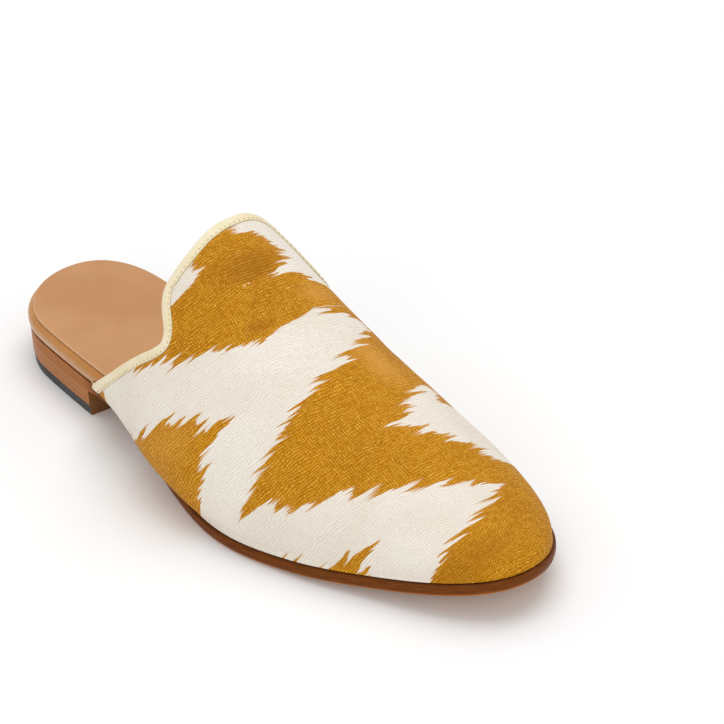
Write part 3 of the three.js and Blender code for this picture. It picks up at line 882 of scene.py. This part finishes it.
# %% Tape, lining and thread
def make_tape():
    material, bench, shader = new_material("binding_tape")
    across, along = cloth_place(bench)
    weave = bench.group(WEAVE, {"Across": across, "Row": along, "Yarn": 0.5, "Bead": 0.6})
    blotch = bench.group(BLOTCHES, {"Place": bench.place(), "Patch": 9.0})
    color = bench.mix(blotch["Tone"], paint("e9dab2"), paint("f0e4c6"))
    # painted shade in the grooves of the tape's weave
    color = bench.mix(bench.times(weave["Groove shade"], 0.25), color, paint("cbb98b"))
    # painted shade: darker along the edge where the tape lies down on the cloth
    color = bench.mix(bench.ramp(across, 3.75, 4.05, 0.0, 0.75), color, paint("94783f"))
    rough = bench.ramp(weave["Height"], 0.0, 1.0, 0.6, 0.42)
    finish_surface(bench, shader, color, rough, weave["Height"], 0.06, 0.5)
    shader.inputs["Sheen Weight"].default_value = 0.1
    return material


def leather(bench, pebble, patch, dark, light, smooth, dull):
    """Grain, two-tone colour and roughness that every smooth leather here starts from."""
    place = bench.place()
    grain = bench.group(GRAIN, {"Place": place, "Pebble": pebble})
    blotch = bench.group(BLOTCHES, {"Place": place, "Patch": patch})
    color = bench.mix(blotch["Tone"], paint(dark), paint(light))
    return grain, color, bench.ramp(blotch["Fine tone"], 0.0, 1.0, smooth, dull)


def make_lining():
    material, bench, shader = new_material("lining_leather")
    grain, color, rough = leather(bench, 0.6, 18.0, "c79468", "d3a47a", 0.5, 0.62)
    color = bench.mix(bench.times(grain["Pores"], 0.4), color, paint("a9754a"))
    finish_surface(bench, shader, color, rough, grain["Height"], 0.05, 0.5)
    return material


def make_thread():
    material, bench, shader = new_material("tape_thread")
    twist = bench.noise(bench.place(), 2600.0, 2.0)
    color = bench.mix(bench.ramp(twist, 0.35, 0.65), paint("b89d64"), paint("dcc996"))
    rough = bench.ramp(twist, 0.3, 0.7, 0.6, 0.5)
    finish_surface(bench, shader, color, rough, twist, 0.05, 0.6)
    return material


IKAT_CLOTH, BINDING_TAPE = make_ikat_cloth(), make_tape()
LINING, TAPE_THREAD = make_lining(), make_thread()


# %% [markdown]
# ## Leather and rubber materials
#
# The sock is a smooth natural tan with a painted highlight along its cut edge, the insole's wrap
# a polished honey with a painted reflection on its lower half and painted shade at its foot, the
# sole's edge a stained and waxed brown with a painted highlight along its lower corner and
# painted shade along its top, and the heel a stack of leather in a lighter tan, with a breast
# painted darker for the shade under the arch. Each side surface carries two measures as its UV
# map: the way round the shoe and the height, so streaks and rims can follow the edge.

# %% Sock and insole leather
def make_sock():
    material, bench, shader = new_material("sock_leather")
    from_edge = cloth_place(bench)[0]
    grain, color, rough = leather(bench, 0.55, 40.0, "b9804d", "c68f5b", 0.46, 0.58)
    color = bench.mix(bench.times(grain["Pores"], 0.18), color, paint("a8734a"))
    # painted highlight: lighter colour along the cut edge of the sheet
    color = bench.mix(bench.ramp(from_edge, 0.15, 0.6, 0.55, 0.0), color, paint("d6ab86"))
    finish_surface(bench, shader, color, rough, grain["Height"], 0.03, 0.4)
    return material


def make_insole_leather():
    material, bench, shader = new_material("insole_leather")
    up = cloth_place(bench)[1]
    grain, color, rough = leather(bench, 0.5, 14.0, "b4742a", "c08337", 0.28, 0.42)
    # painted reflection: the lower half of the round side is lighter, as if it mirrored the white table
    color = bench.mix(bench.ramp(up, 2.2, 3.3, 0.9, 0.0), color, paint("b8895a"))
    # painted shade: darker along the lowest millimetre, in the gap above the outsole
    color = bench.mix(bench.ramp(up, 0.0, 0.9, 0.9, 0.0), color, paint("6e3f1c"))
    finish_surface(bench, shader, color, rough, grain["Height"], 0.02, 0.35)
    shader.inputs["Coat Weight"].default_value = 0.25
    shader.inputs["Coat Roughness"].default_value = 0.25
    return material


# %% Outsole leather, heel leather and rubber
HEEL_LAYERS, LAYER_HEIGHT = 3, 2.03


def make_sole_edge():
    material, bench, shader = new_material("sole_edge")
    around, up = cloth_place(bench)
    fibre = bench.group(FIBRES, {"Along": around, "Up": up, "Length": 7.0, "Width": 0.3})["Streak"]
    color = bench.mix(bench.ramp(fibre, 0.35, 0.7), paint("5f3110"), paint("7e4518"))
    # painted highlight: lighter along the lower corner of the edge
    color = bench.mix(bench.ramp(up, 0.4, 1.3, 0.85, 0.0), color, paint("b36a28"))
    # painted shade: darker along the top, under the insole and the upper
    color = bench.mix(bench.ramp(up, 3.9, 4.4, 0.0, 0.6), color, paint("4d2810"))
    backwards = bench.add("ShaderNodeSeparateXYZ", {0: bench.place()}).outputs[1]
    tan = bench.mix(bench.ramp(fibre, 0.35, 0.7), paint("9a5c2a"), paint("b2723c"))
    color = bench.mix(bench.ramp(backwards, 0.052, 0.066), color, tan)
    rough = bench.ramp(fibre, 0.3, 0.7, 0.34, 0.48)
    finish_surface(bench, shader, color, rough, fibre, 0.05, 0.4)
    shader.inputs["Specular IOR Level"].default_value = 0.05
    return material


def make_sole_leather():
    material, bench, shader = new_material("sole_leather")
    place = bench.place()
    grain = bench.group(GRAIN, {"Place": place, "Pebble": 0.9})
    blotch = bench.group(BLOTCHES, {"Place": place, "Patch": 24.0})
    spot = bench.add("ShaderNodeSeparateXYZ", {0: place}).outputs
    scuff = bench.noise(bench.join(bench.times(spot[0], 900.0),
                                   bench.times(spot[1], 110.0)), 1.0, 3.0)
    color = bench.mix(blotch["Tone"], paint("a9713f"), paint("bd8850"))
    color = bench.mix(bench.ramp(scuff, 0.58, 0.75, 0.0, 0.5), color, paint("7f5029"))
    color = bench.mix(bench.times(grain["Pores"], 0.3), color, paint("8a5830"))
    rough = bench.ramp(scuff, 0.3, 0.7, 0.5, 0.68)
    finish_surface(bench, shader, color, rough, grain["Height"], 0.05, 0.5)
    return material


def make_stacked_leather():
    material, bench, shader = new_material("stacked_leather")
    around, up = cloth_place(bench)
    fibre = bench.group(FIBRES, {"Along": around, "Up": up, "Length": 16.0, "Width": 0.5})["Streak"]
    blotch = bench.group(BLOTCHES, {"Place": bench.place(), "Patch": 16.0})
    color = bench.mix(bench.ramp(fibre, 0.3, 0.7), paint("9a5c2a"), paint("b2723c"))
    color = bench.mix(bench.times(blotch["Tone"], 0.35), color, paint("ae6e36"))
    in_layer = bench.math("FRACT", bench.over(up, LAYER_HEIGHT))
    seam = bench.math("ABSOLUTE", bench.minus(in_layer, 0.5))
    color = bench.mix(bench.ramp(seam, 0.46, 0.5, 0.0, 0.12), color, paint("6b3d1e"))
    rough = bench.ramp(fibre, 0.3, 0.7, 0.36, 0.5)
    finish_surface(bench, shader, color, rough, fibre, 0.05, 0.4)
    shader.inputs["Specular IOR Level"].default_value = 0.16
    shader.inputs["Coat Weight"].default_value = 0.03
    shader.inputs["Coat Roughness"].default_value = 0.3
    return material


def make_shaded_breast():
    material, bench, shader = new_material("heel_breast_shaded")
    # brown breast leather, painted darker than the stack for the shade under the arch
    grain, color, rough = leather(bench, 0.6, 12.0, "5f3a18", "8a5a26", 0.45, 0.6)
    finish_surface(bench, shader, color, rough, grain["Height"], 0.05, 0.5)
    return material


def make_rubber():
    material, bench, shader = new_material("heel_rubber")
    place = bench.place()
    fine = bench.noise(place, 2200.0, 3.0)
    blotch = bench.group(BLOTCHES, {"Place": place, "Patch": 10.0})
    color = bench.mix(blotch["Tone"], paint("2b2d2c"), paint("3b3d3b"))
    rough = bench.ramp(fine, 0.3, 0.7, 0.55, 0.72)
    finish_surface(bench, shader, color, rough, fine, 0.04, 0.5)
    return material


SOCK_LEATHER, INSOLE_LEATHER = make_sock(), make_insole_leather()
SOLE_EDGE, SOLE_LEATHER = make_sole_edge(), make_sole_leather()
STACKED_LEATHER, SHADED_BREAST_LEATHER, HEEL_RUBBER = (
    make_stacked_leather(), make_shaded_breast(), make_rubber())
print("materials:", len(bpy.data.materials))

# %% [markdown]
# ## The upper
#
# The upper is cloth on a stiffener, pulled over the last and glued under its edge. It is one
# hollow shell: an outer face, an inner face and two rims that join them. It could be one
# surface with a Solidify modifier, but a shoe's wall meets the sole and the binding at set
# places, so both faces are laid out from the last itself. The main creases are listed one by one,
# each as a soft trough or ridge with its own place, length, width and depth.

# %% Creases listed one by one
# each: s and u of its middle, direction in degrees from the girth, length, width, depth (mm)
CREASES = [
    (145.0, -5, 2, 17, 2.6, 0.7), (149.0, -4, 2, 24, 5.5, -0.5), (153, 8, 12, 26, 6, 0.22),
    (158, -18, -10, 30, 7, 0.2), (139, 24, 20, 20, 5, 0.25), (150, -38, 25, 22, 6, 0.2),
    (116, -62, 35, 24, 6, 0.22), (126, -70, 30, 26, 7, -0.2), (134, -62, 20, 18, 5, 0.2),
    (172, 30, -15, 24, 7, 0.2), (118, 64, -35, 24, 6, 0.22), (178, -30, 8, 30, 9, 0.15),
    (196, -40, 20, 24, 8, 0.14), (214, 8, -12, 30, 9, 0.15),
]

# how far a crease strays from a straight line, and the height of the slow waves in between
CREASE_BEND, SLOW_WAVE = 1.2, 0.05


def relief(s, u):
    """How far the cloth stands out (mm) at s and u."""
    rise = np.zeros_like(s)
    for s0, u0, turn, length, width, depth in CREASES:
        a = math.radians(turn)
        run = (u - u0) * math.cos(a) + (s - s0) * math.sin(a)
        off = -(u - u0) * math.sin(a) + (s - s0) * math.cos(a)
        off = off + CREASE_BEND * np.sin(run / length * 3.0)
        rise -= depth * np.exp(-((off / (width / 2)) ** 2)) * np.exp(-((run / (length / 2)) ** 4))
    slow = np.sin(s / 5.1 + 0.7 * np.sin(u / 9.0)) * np.sin(u / 6.3 + s / 17.0)
    return rise + SLOW_WAVE * slow


# %% Upper shell
UPPER_COLUMNS, UPPER_ROWS = 260, 150
TUCK = 0.6


def build_upper():
    start_s, start_t, _ = collar_offset(TAPE_WIDTH - TUCK, UPPER_COLUMNS)
    even = np.linspace(-1, 1, UPPER_COLUMNS + 1)
    forward = np.sin(np.arange(UPPER_ROWS) / UPPER_ROWS * np.pi / 2)[:, None]
    points, uv, faces, slots = [], [], [], []
    first = []
    for depth in (0.0, WALL):
        first.append(sum(len(p) for p in points))
        end = LENGTH - FEATHER_INSET - depth
        t = blend(start_t[None, :], even[None, :], smoothstep(forward, 0, 0.6))
        s = blend(start_s[None, :], end, forward)
        place = last_point(s, t, depth)
        u = girth(s, t)
        if depth == 0:
            clear = smoothstep(np.abs(t), 1.0, 0.93) * smoothstep(end - s, 0, 12)
            place = place + last_normal(s, t) * (relief(s, u) * clear)[..., None]
        points.append(place.reshape(-1, 3))
        row_of_yarn = cloth_row(s, last_point(s, t)[..., 2])
        uv.append(np.stack([u, row_of_yarn], -1).reshape(-1, 2))
        tip = last_point(end, 0.0, depth).reshape(1, 3)
        points.append(tip)
        uv.append(np.array([[0.0, float(cloth_row(end, tip[0, 2]))]]))
    row = UPPER_COLUMNS + 1
    tip = [f + UPPER_ROWS * row for f in first]
    c = np.arange(UPPER_COLUMNS)
    for layer, flip in ((0, False), (1, True)):
        quads = grid_faces(first[layer], UPPER_ROWS - 1, UPPER_COLUMNS, flip)
        front = first[layer] + (UPPER_ROWS - 1) * row + c
        near, far = (front, front + 1) if not flip else (front + 1, front)
        fan = [(a, tip[layer], b) for a, b in zip(near, far)]
        faces += quads.tolist() + fan
        slots += [layer] * (len(quads) + len(fan))
    rim = [(first[0] + i, first[0] + i + 1, first[1] + i + 1, first[1] + i) for i in c]
    for k in range(UPPER_ROWS):
        a, b = (f + k * row for f in first)
        a_next, b_next = (a + row, b + row) if k + 1 < UPPER_ROWS else tip
        rim.append((a, b, b_next, a_next))
        a, b = a + UPPER_COLUMNS, b + UPPER_COLUMNS
        a_next, b_next = (a + row, b + row) if k + 1 < UPPER_ROWS else tip
        rim.append((b, a, a_next, b_next))
    faces += rim
    slots += [0] * len(rim)
    return make_mesh("ikat_upper", np.concatenate(points), faces, [IKAT_CLOTH, LINING], slots,
                     np.concatenate(uv), sharp=50.0)


upper = build_upper()

# %% [markdown]
# ## The binding
#
# A folded tape wraps the raw edge of the upper. It is round where it folds and thin where it
# lies down on the cloth, and the stitches that hold it pull a small dimple every two
# millimetres. At each end it is turned back over the side of the insole. A curve with a bevel
# profile would twist on this path, so each cross section is laid out on the last's surface.

# %% Binding tape
TAPE_STEPS, TAPE_ROUND = 560, 30
STITCH_STEP, STITCH_ACROSS, STITCH_LIFT = 2.0, 0.79, 0.42
FOLD_POWER, FLAT_POWER, THINNER = 2.6, 5.0, 0.32
FLARE, FLARE_LENGTH = 0.42, 6.5
DIMPLE_DEPTH, DIMPLE_REACH = 0.16, 0.12


def tape_profile():
    """Closed cross section as (across 0 to 1, depth in mm), round at the fold."""
    angle = np.linspace(0, 2 * np.pi, TAPE_ROUND, endpoint=False)
    power = np.where(np.cos(angle) < 0, FOLD_POWER, FLAT_POWER)
    across = 0.5 + 0.5 * np.sign(np.cos(angle)) * np.abs(np.cos(angle)) ** (2 / power)
    depth = np.sign(np.sin(angle)) * np.abs(np.sin(angle)) ** (2 / power)
    proud = TAPE_PROUD - THINNER * smoothstep(across, 0.35, 1.0)
    return across, WALL / 2 - depth * (WALL / 2 + proud)


def build_tape():
    edge_s, edge_t, length = collar_offset(0, TAPE_STEPS)
    cloth_s, cloth_t, _ = collar_offset(TAPE_WIDTH, TAPE_STEPS)
    across, depth = tape_profile()
    walk = np.linspace(0, length, TAPE_STEPS + 1)[:, None]
    from_end = np.minimum(walk, length - walk)
    flare = FLARE * (1 - smoothstep(from_end, 0, FLARE_LENGTH)) * smoothstep(-depth, -0.4, 0.2)
    pull = np.exp(-(((across - STITCH_ACROSS) / DIMPLE_REACH) ** 2)) * (depth < 0)
    dimple = DIMPLE_DEPTH * pull * (0.5 + 0.5 * np.cos(2 * np.pi * walk / STITCH_STEP))
    uneven = 0.05 * np.sin(walk / 3.1) + 0.05 * np.sin(walk / 1.37 + 1.0)
    outside = np.where(depth < 0, 1.0, 0.0)
    spread = across[None, :] - flare * (1 - across[None, :])
    s = blend(edge_s[:, None], cloth_s[:, None], spread)
    t = blend(edge_t[:, None], cloth_t[:, None], spread)
    points = last_point(s, t, depth[None, :] + dimple - uneven * outside * 0.6)
    ring = np.arange(TAPE_ROUND)
    after = (ring + 1) % TAPE_ROUND
    faces = []
    for j in range(TAPE_STEPS):
        a = j * TAPE_ROUND
        b = a + TAPE_ROUND
        faces += np.stack([a + ring, b + ring, b + after, a + after], -1).tolist()
    faces.append(ring.tolist())
    faces.append((TAPE_STEPS * TAPE_ROUND + ring[::-1]).tolist())
    uv = np.stack(np.broadcast_arrays(across[None, :] * TAPE_WIDTH, walk), -1)
    return make_mesh("collar_tape", points.reshape(-1, 3), faces, [BINDING_TAPE], None,
                     uv.reshape(-1, 2), sharp=60.0)


tape = build_tape()


# %% [markdown]
# ## Stitches of the binding
#
# One line of small stitches holds the tape. A stitch repeats along a path, so Geometry Nodes
# make it: a guide line with the surface's own direction stored on its points is resampled at
# the stitch length, and a small lens is set on each point and turned to the line and the face.

# %% Geometry Nodes for stitches
def add_input(tree, label, kind, value):
    socket = tree.interface.new_socket(label, in_out="INPUT", socket_type=kind)
    if value is not None:
        socket.default_value = value
    return socket.identifier


def build_stitch_tree():
    tree = bpy.data.node_groups.new("stitches on a line", "GeometryNodeTree")
    add_input(tree, "Geometry", "NodeSocketGeometry", None)
    names = {
        "Stitch step": ("NodeSocketFloat", 0.0022), "Stitch length": ("NodeSocketFloat", 0.0011),
        "Stitch width": ("NodeSocketFloat", 0.0003), "Seed": ("NodeSocketInt", 3),
        "Thread": ("NodeSocketMaterial", None),
    }
    ids = {label: add_input(tree, label, kind, value) for label, (kind, value) in names.items()}
    tree.interface.new_socket("Geometry", in_out="OUTPUT", socket_type="NodeSocketGeometry")
    bench = Bench(tree)
    given = bench.add("NodeGroupInput").outputs
    line = bench.add("GeometryNodeMeshToCurve", {"Mesh": given["Geometry"]})
    spaced = bench.add("GeometryNodeResampleCurve", {
        "Curve": line.outputs[0], "Length": given["Stitch step"]}, mode="LENGTH")
    out = bench.add(
        "GeometryNodeInputNamedAttribute", {"Name": "face_out"}, data_type="FLOAT_VECTOR")
    along = bench.add("GeometryNodeInputTangent")
    turn = bench.add("FunctionNodeAxesToRotation", {0: out.outputs[0], 1: along.outputs[0]},
                     primary_axis="Z", secondary_axis="X")
    lens_shape = bench.add("GeometryNodeMeshUVSphere", {"Segments": 8, "Rings": 5, "Radius": 0.5})
    chance = bench.add("FunctionNodeRandomValue", {2: 0.88, 3: 1.12, "Seed": given["Seed"]})
    size = bench.add("ShaderNodeCombineXYZ", {
        0: bench.times(given["Stitch length"], chance.outputs[1]),
        1: given["Stitch width"], 2: given["Stitch width"]})
    placed = bench.add("GeometryNodeInstanceOnPoints", {
        "Points": spaced.outputs[0], "Instance": lens_shape.outputs[0],
        "Rotation": turn.outputs[0], "Scale": size.outputs[0]})
    solid = bench.add("GeometryNodeRealizeInstances", {0: placed.outputs[0]})
    smooth = bench.add("GeometryNodeSetShadeSmooth", {0: solid.outputs[0]})
    painted = bench.add(
        "GeometryNodeSetMaterial", {0: smooth.outputs[0], "Material": given["Thread"]})
    bench.feed(bench.add("NodeGroupOutput").inputs[0], painted.outputs[0])
    return tree, ids


STITCH_TREE, STITCH_INPUTS = build_stitch_tree()


def line_object(name, points, outs):
    """A line of points in mm that carries the direction out of the surface."""
    mesh = bpy.data.meshes.new(name)
    mesh.from_pydata((points * MM).tolist(), [(i, i + 1) for i in range(len(points) - 1)], [])
    layer = mesh.attributes.new("face_out", "FLOAT_VECTOR", "POINT")
    layer.data.foreach_set("vector", outs.astype(np.float32).ravel())
    guide = bpy.data.objects.new(name, mesh)
    bpy.context.scene.collection.objects.link(guide)
    return guide


def plain_mesh(guide, name):
    """Turns what the modifiers make into a plain mesh under a new name."""
    evaluated = guide.evaluated_get(bpy.context.evaluated_depsgraph_get())
    mesh = bpy.data.meshes.new_from_object(evaluated)
    guide.modifiers.clear()
    bpy.data.objects.remove(guide)
    mesh.name = name
    piece = bpy.data.objects.new(name, mesh)
    bpy.context.scene.collection.objects.link(piece)
    report_mesh(piece)
    return piece


def build_stitches():
    edge_s, edge_t, _ = collar_offset(0, TAPE_STEPS)
    cloth_s, cloth_t, _ = collar_offset(TAPE_WIDTH, TAPE_STEPS)
    s = blend(edge_s, cloth_s, STITCH_ACROSS)[3:-3]
    t = blend(edge_t, cloth_t, STITCH_ACROSS)[3:-3]
    guide = line_object("stitch_line", last_point(s, t, -STITCH_LIFT), last_normal(s, t))
    modifier = guide.modifiers.new("stitches", "NODES")
    modifier.node_group = STITCH_TREE
    modifier[STITCH_INPUTS["Stitch step"]] = STITCH_STEP * MM
    modifier[STITCH_INPUTS["Thread"]] = TAPE_THREAD
    return plain_mesh(guide, "tape_stitches")


stitches = build_stitches()

# %% [markdown]
# ## The layers of the sole
#
# Insole, sock, outsole, heel and lift are slabs of one outline. Each is a stack of rings, from
# the lower edge up its side to the upper edge, and strips across the shoe close it above and
# below. A bevel on a flat plate would give one radius all round. Rings let each layer have the
# side that it really has: full and round on the wrapped insole, bevelled on the outsole. Inside
# the upper, the rings of the insole and the sock reach out to the wall.

# %% Stations and slabs
def stations(front):
    """Places along the shoe, close together where the ends are round."""
    heel = HEEL_ARC * (1 - np.cos(np.linspace(0, 1, 49) * np.pi / 2))
    if front <= HEEL_BREAST:
        return np.concatenate([heel, np.linspace(HEEL_ARC, front, 20)[1:]])
    middle = np.concatenate([np.linspace(HEEL_ARC, 74, 16)[1:], np.linspace(74, 80, 13)[1:],
                             np.linspace(80, BALL_END, 40)[1:]])
    toe = LENGTH - TOE_ARC * (1 - np.sin(np.linspace(0, 1, 81) * np.pi / 2))
    return np.concatenate([heel, middle, toe[1:]])


def sole_ring(places, inset, height):
    """Closed ring: the outer side from heel to front, then the inner side back."""
    outer, inner = (inset(places, side) if callable(inset) else inset for side in (-1, 1))
    lateral = edge_points(places, -1, outer, height)
    medial = edge_points(places, 1, inner, height)
    pointed = places[-1] >= LENGTH - 1e-6
    return np.concatenate([lateral, medial[1:-1 if pointed else None][::-1]])


def slab(name, places, rings, materials, heights, base_slot=0, breast_slot=0, sharp=40.0):
    """A closed slab from rings, lowest first. heights gives the second UV measure per ring."""
    count = len(rings[0])
    points = np.concatenate(rings)
    faces, slots = [], []
    i = np.arange(count)
    after = (i + 1) % count
    front = len(places) - 1
    for r in range(len(rings) - 1):
        a = r * count
        faces += np.stack([a + i, a + after, a + count + after, a + count + i], -1).tolist()
        slots += [breast_slot if k == front else 0 for k in i]
    top = (len(rings) - 1) * count
    k = np.arange(len(places) - 1)
    left, left_next = k, k + 1
    right, right_next = (count - k) % count, count - k - 1
    for base, flip, slot in ((0, True, base_slot), (top, False, 0)):
        for a, b, c, d in zip(left, left_next, right_next, right):
            corners = [base + a, base + b]
            if c != b:
                corners.append(base + c)
            if d != a:
                corners.append(base + d)
            faces.append(corners[::-1] if flip else corners)
            slots.append(slot)
    walk = np.linalg.norm(np.diff(rings[0], axis=0, append=rings[0][:1]), axis=1).cumsum()
    uv = np.concatenate([np.stack([walk, np.full(count, h)], -1) for h in heights])
    return make_mesh(name, points, faces, materials, slots, uv, sharp)


# %% Wrapped insole
# inside the upper: how much of the round side is left, and how far in the sock's edge lies
INSOLE_TIGHT, SOCK_TIGHT = 0.35, 0.6


def build_insole():
    places = stations(LENGTH)
    up = np.array([0, 0.04, 0.12, 0.22, 0.34, 0.46, 0.58, 0.68, 0.78, 0.86, 0.93, 0.98, 1.0])
    free = curve_through([0, 0.12, 0.4, 0.65, 0.88, 1], [0.75, 0.1, -0.3, -0.2, 0.5, 1.7])

    def ring(share):
        tight = INSOLE_TIGHT * max(0, free(share))
        return sole_ring(
            places,
            lambda s, side: insole_inset(
                s, side, share * (insole_top(s) - sole_top(s) - GAP), free(share), tight),
            lambda s: blend(sole_top(s) + GAP, insole_top(s), share))

    return slab("wrapped_insole", places, [ring(share) for share in up], [INSOLE_LEATHER],
                up * INSOLE_AT_HEEL, sharp=60.0)


insole = build_insole()


# %% Sock
def build_sock():
    """A thin sheet with a cut edge, a pressed line inside it and a middle that lies a little lower."""
    places = stations(LENGTH)
    profile = [(0, 0.0), (-0.05, 0.3), (0, 0.55), (0.18, 0.74), (0.5, 0.8), (1.2, 0.8), (7.4, 0.8),
               (8.2, 0.72), (8.8, 0.68), (9.4, 0.72), (10.2, 0.8), (13, 0.76)]

    def ring(inward, height):
        return sole_ring(
            places,
            lambda s, side: insole_inset(
                s, side, insole_top(s) - sole_top(s), SOCK_INSET + inward, SOCK_TIGHT + inward),
            lambda s: insole_top(s) + GAP + height)

    rings = [ring(*row) for row in profile]
    piece = slab("sock_sheet", places, rings, [SOCK_LEATHER], [0.0] * len(rings), sharp=50.0)
    corner = np.zeros(len(piece.data.loops), np.int32)
    piece.data.loops.foreach_get("vertex_index", corner)
    from_edge = np.repeat([inward for inward, _ in profile], len(rings[0]))
    uv = np.stack([from_edge, np.zeros_like(from_edge)], -1)[corner] * MM
    piece.data.uv_layers["cloth"].data.foreach_set("uv", uv.astype(np.float32).ravel())
    return piece


sock = build_sock()


# %% Outsole
HEEL_INSET = 0.1
BEVEL_STARTS = (HEEL_BREAST - 1, HEEL_BREAST + 9)


def build_outsole():
    places = stations(LENGTH)
    profile = [(1.5, 0), (1.0, 0.06), (0.62, 0.35), (0.3, 0.9), (0.1, 1.6), (0.0, 2.3), (0.0, 3.0),
               (0.08, 3.6), (0.25, 4.05), (0.6, 4.3), (1.2, 4.4)]

    def ring(bevel, height):
        """The side is square over the heel, and takes its bevel past the heel breast."""
        return sole_ring(
            places,
            lambda s, side: blend(HEEL_INSET, bevel, smoothstep(s, *BEVEL_STARTS)),
            lambda s: sole_bottom(s) + height)

    return slab("leather_outsole", places, [ring(*row) for row in profile],
                [SOLE_EDGE, SOLE_LEATHER], [h for _, h in profile], base_slot=1, sharp=50.0)


outsole = build_outsole()


# %% Heel stack and rubber lift
def build_heel_layer(name, profile, leather_round):
    """A layer under the heel. Its flat front, the heel breast, has a brown leather of its own, painted
    darker than the stack for the shade under the arch.
    """
    places = stations(HEEL_BREAST)
    rings = [sole_ring(places, d, lambda s, h=h: h + 0 * s) for d, h in profile]
    low = profile[0][1]
    return slab(name, places, rings, [leather_round, SHADED_BREAST_LEATHER],
                [h - low for _, h in profile], breast_slot=1)


def layered_side(low, high, lifts, inset):
    """Side of a stack: each lift is a little round, with a fine groove between lifts."""
    rows, height = [], (high - low) / lifts
    for k in range(lifts):
        base = low + k * height
        for share, extra in ((0.0, 0.1), (0.05, 0.03), (0.2, 0.0), (0.8, 0.0), (0.95, 0.03)):
            rows.append((inset + extra, base + share * height))
    rows.append((inset + 0.1, high))
    return rows


STACK_SIDE = layered_side(TOP_LIFT_HEIGHT, HEEL_HEIGHT, HEEL_LAYERS, HEEL_INSET)
LIFT_SIDE = [(1.0, 0.0), (0.6, 0.12), (0.42, 0.5), (0.36, 1.5), (0.32, 3.2), (0.36, 3.95),
             (0.5, TOP_LIFT_HEIGHT)]
heel = build_heel_layer("stacked_heel", STACK_SIDE, STACKED_LEATHER)
lift = build_heel_layer("rubber_lift", LIFT_SIDE, HEEL_RUBBER)

# %% [markdown]
# ## Each piece takes the place of its CAD node
#
# A new piece rides on the one rigid body of the shoe and hides the CAD node that it stands for.
# The CAD nodes stay where they are.

# %% Bodies and replaced nodes
for piece, node, finish in (
    (upper, "upper", "upper_cloth"), (tape, "collar_binding", "binding"),
    (insole, "insole", "insole_leather"), (sock, "sock_lining", "sock_leather"),
    (outsole, "outsole", "sole_leather"), (heel, "heel_stack", "stacked_leather"),
    (lift, "top_lift", "heel_rubber"),
):
    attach(piece, "root")
    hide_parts(node)
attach(stitches, "root")

# %% [markdown]
# ## Floor and light
#
# A product photograph like this one stands on a white table under large soft lights, so the
# floor is almost white and the shadow is soft and close. The room gives an even light from all
# sides, one wide light from above and behind draws the gloss, and a softer one from the front
# left opens the shadows, with a weak low one under the toe.

# %% Floor
floor_material, bench, shader = new_material("white_table")
shader.inputs["Base Color"].default_value = (0.93, 0.93, 0.93, 1)
shader.inputs["Roughness"].default_value = 0.9
shader.inputs["Specular IOR Level"].default_value = 0.1
FLOOR_HALF = 3000.0
floor = make_mesh("table", [(-FLOOR_HALF, -FLOOR_HALF, 0), (FLOOR_HALF, -FLOOR_HALF, 0),
                            (FLOOR_HALF, FLOOR_HALF, 0), (-FLOOR_HALF, FLOOR_HALF, 0)],
                  [(0, 1, 2, 3)], [floor_material])


# %% Lights
def soft_light(name, place, target, size, power):
    """A wide white lamp at a place in metres, turned to its target. Power is in watts."""
    light = bpy.data.lights.new(name, "AREA")
    light.shape, light.size, light.size_y = "RECTANGLE", size[0], size[1]
    light.energy = power
    lamp = bpy.data.objects.new(name, light)
    aim = unit(np.array(place, float) - np.array(target, float))
    side = unit(np.cross([0.0, 0.0, 1.0] if abs(aim[2]) < 0.98 else [0.0, 1.0, 0.0], aim))
    over = np.cross(aim, side)
    where = Matrix.Identity(4)
    for r in range(3):
        where[r][0], where[r][1], where[r][2], where[r][3] = side[r], over[r], aim[r], place[r]
    lamp.matrix_world = where
    bpy.context.scene.collection.objects.link(lamp)


soft_light("overhead_softbox", (0.3, 0.3, 1.5), (0, 0, 0), (1.5, 1.5), 12.8)
soft_light("front_left_softbox", (-1.25, -1.1, 0.75), (0, 0, 0.03), (1.0, 1.0), 7.4)
soft_light("low_front_softbox", (0.7, -1.5, 0.4), (0, -0.1, 0), (0.9, 0.5), 2.2)

world = bpy.data.worlds.new("bright_room")
bpy.context.scene.world = world
world.use_nodes = True
world.node_tree.nodes["Background"].inputs[0].default_value = (1, 1, 1, 1)
world.node_tree.nodes["Background"].inputs[1].default_value = 0.61
bpy.context.scene.view_settings.view_transform = "Standard"
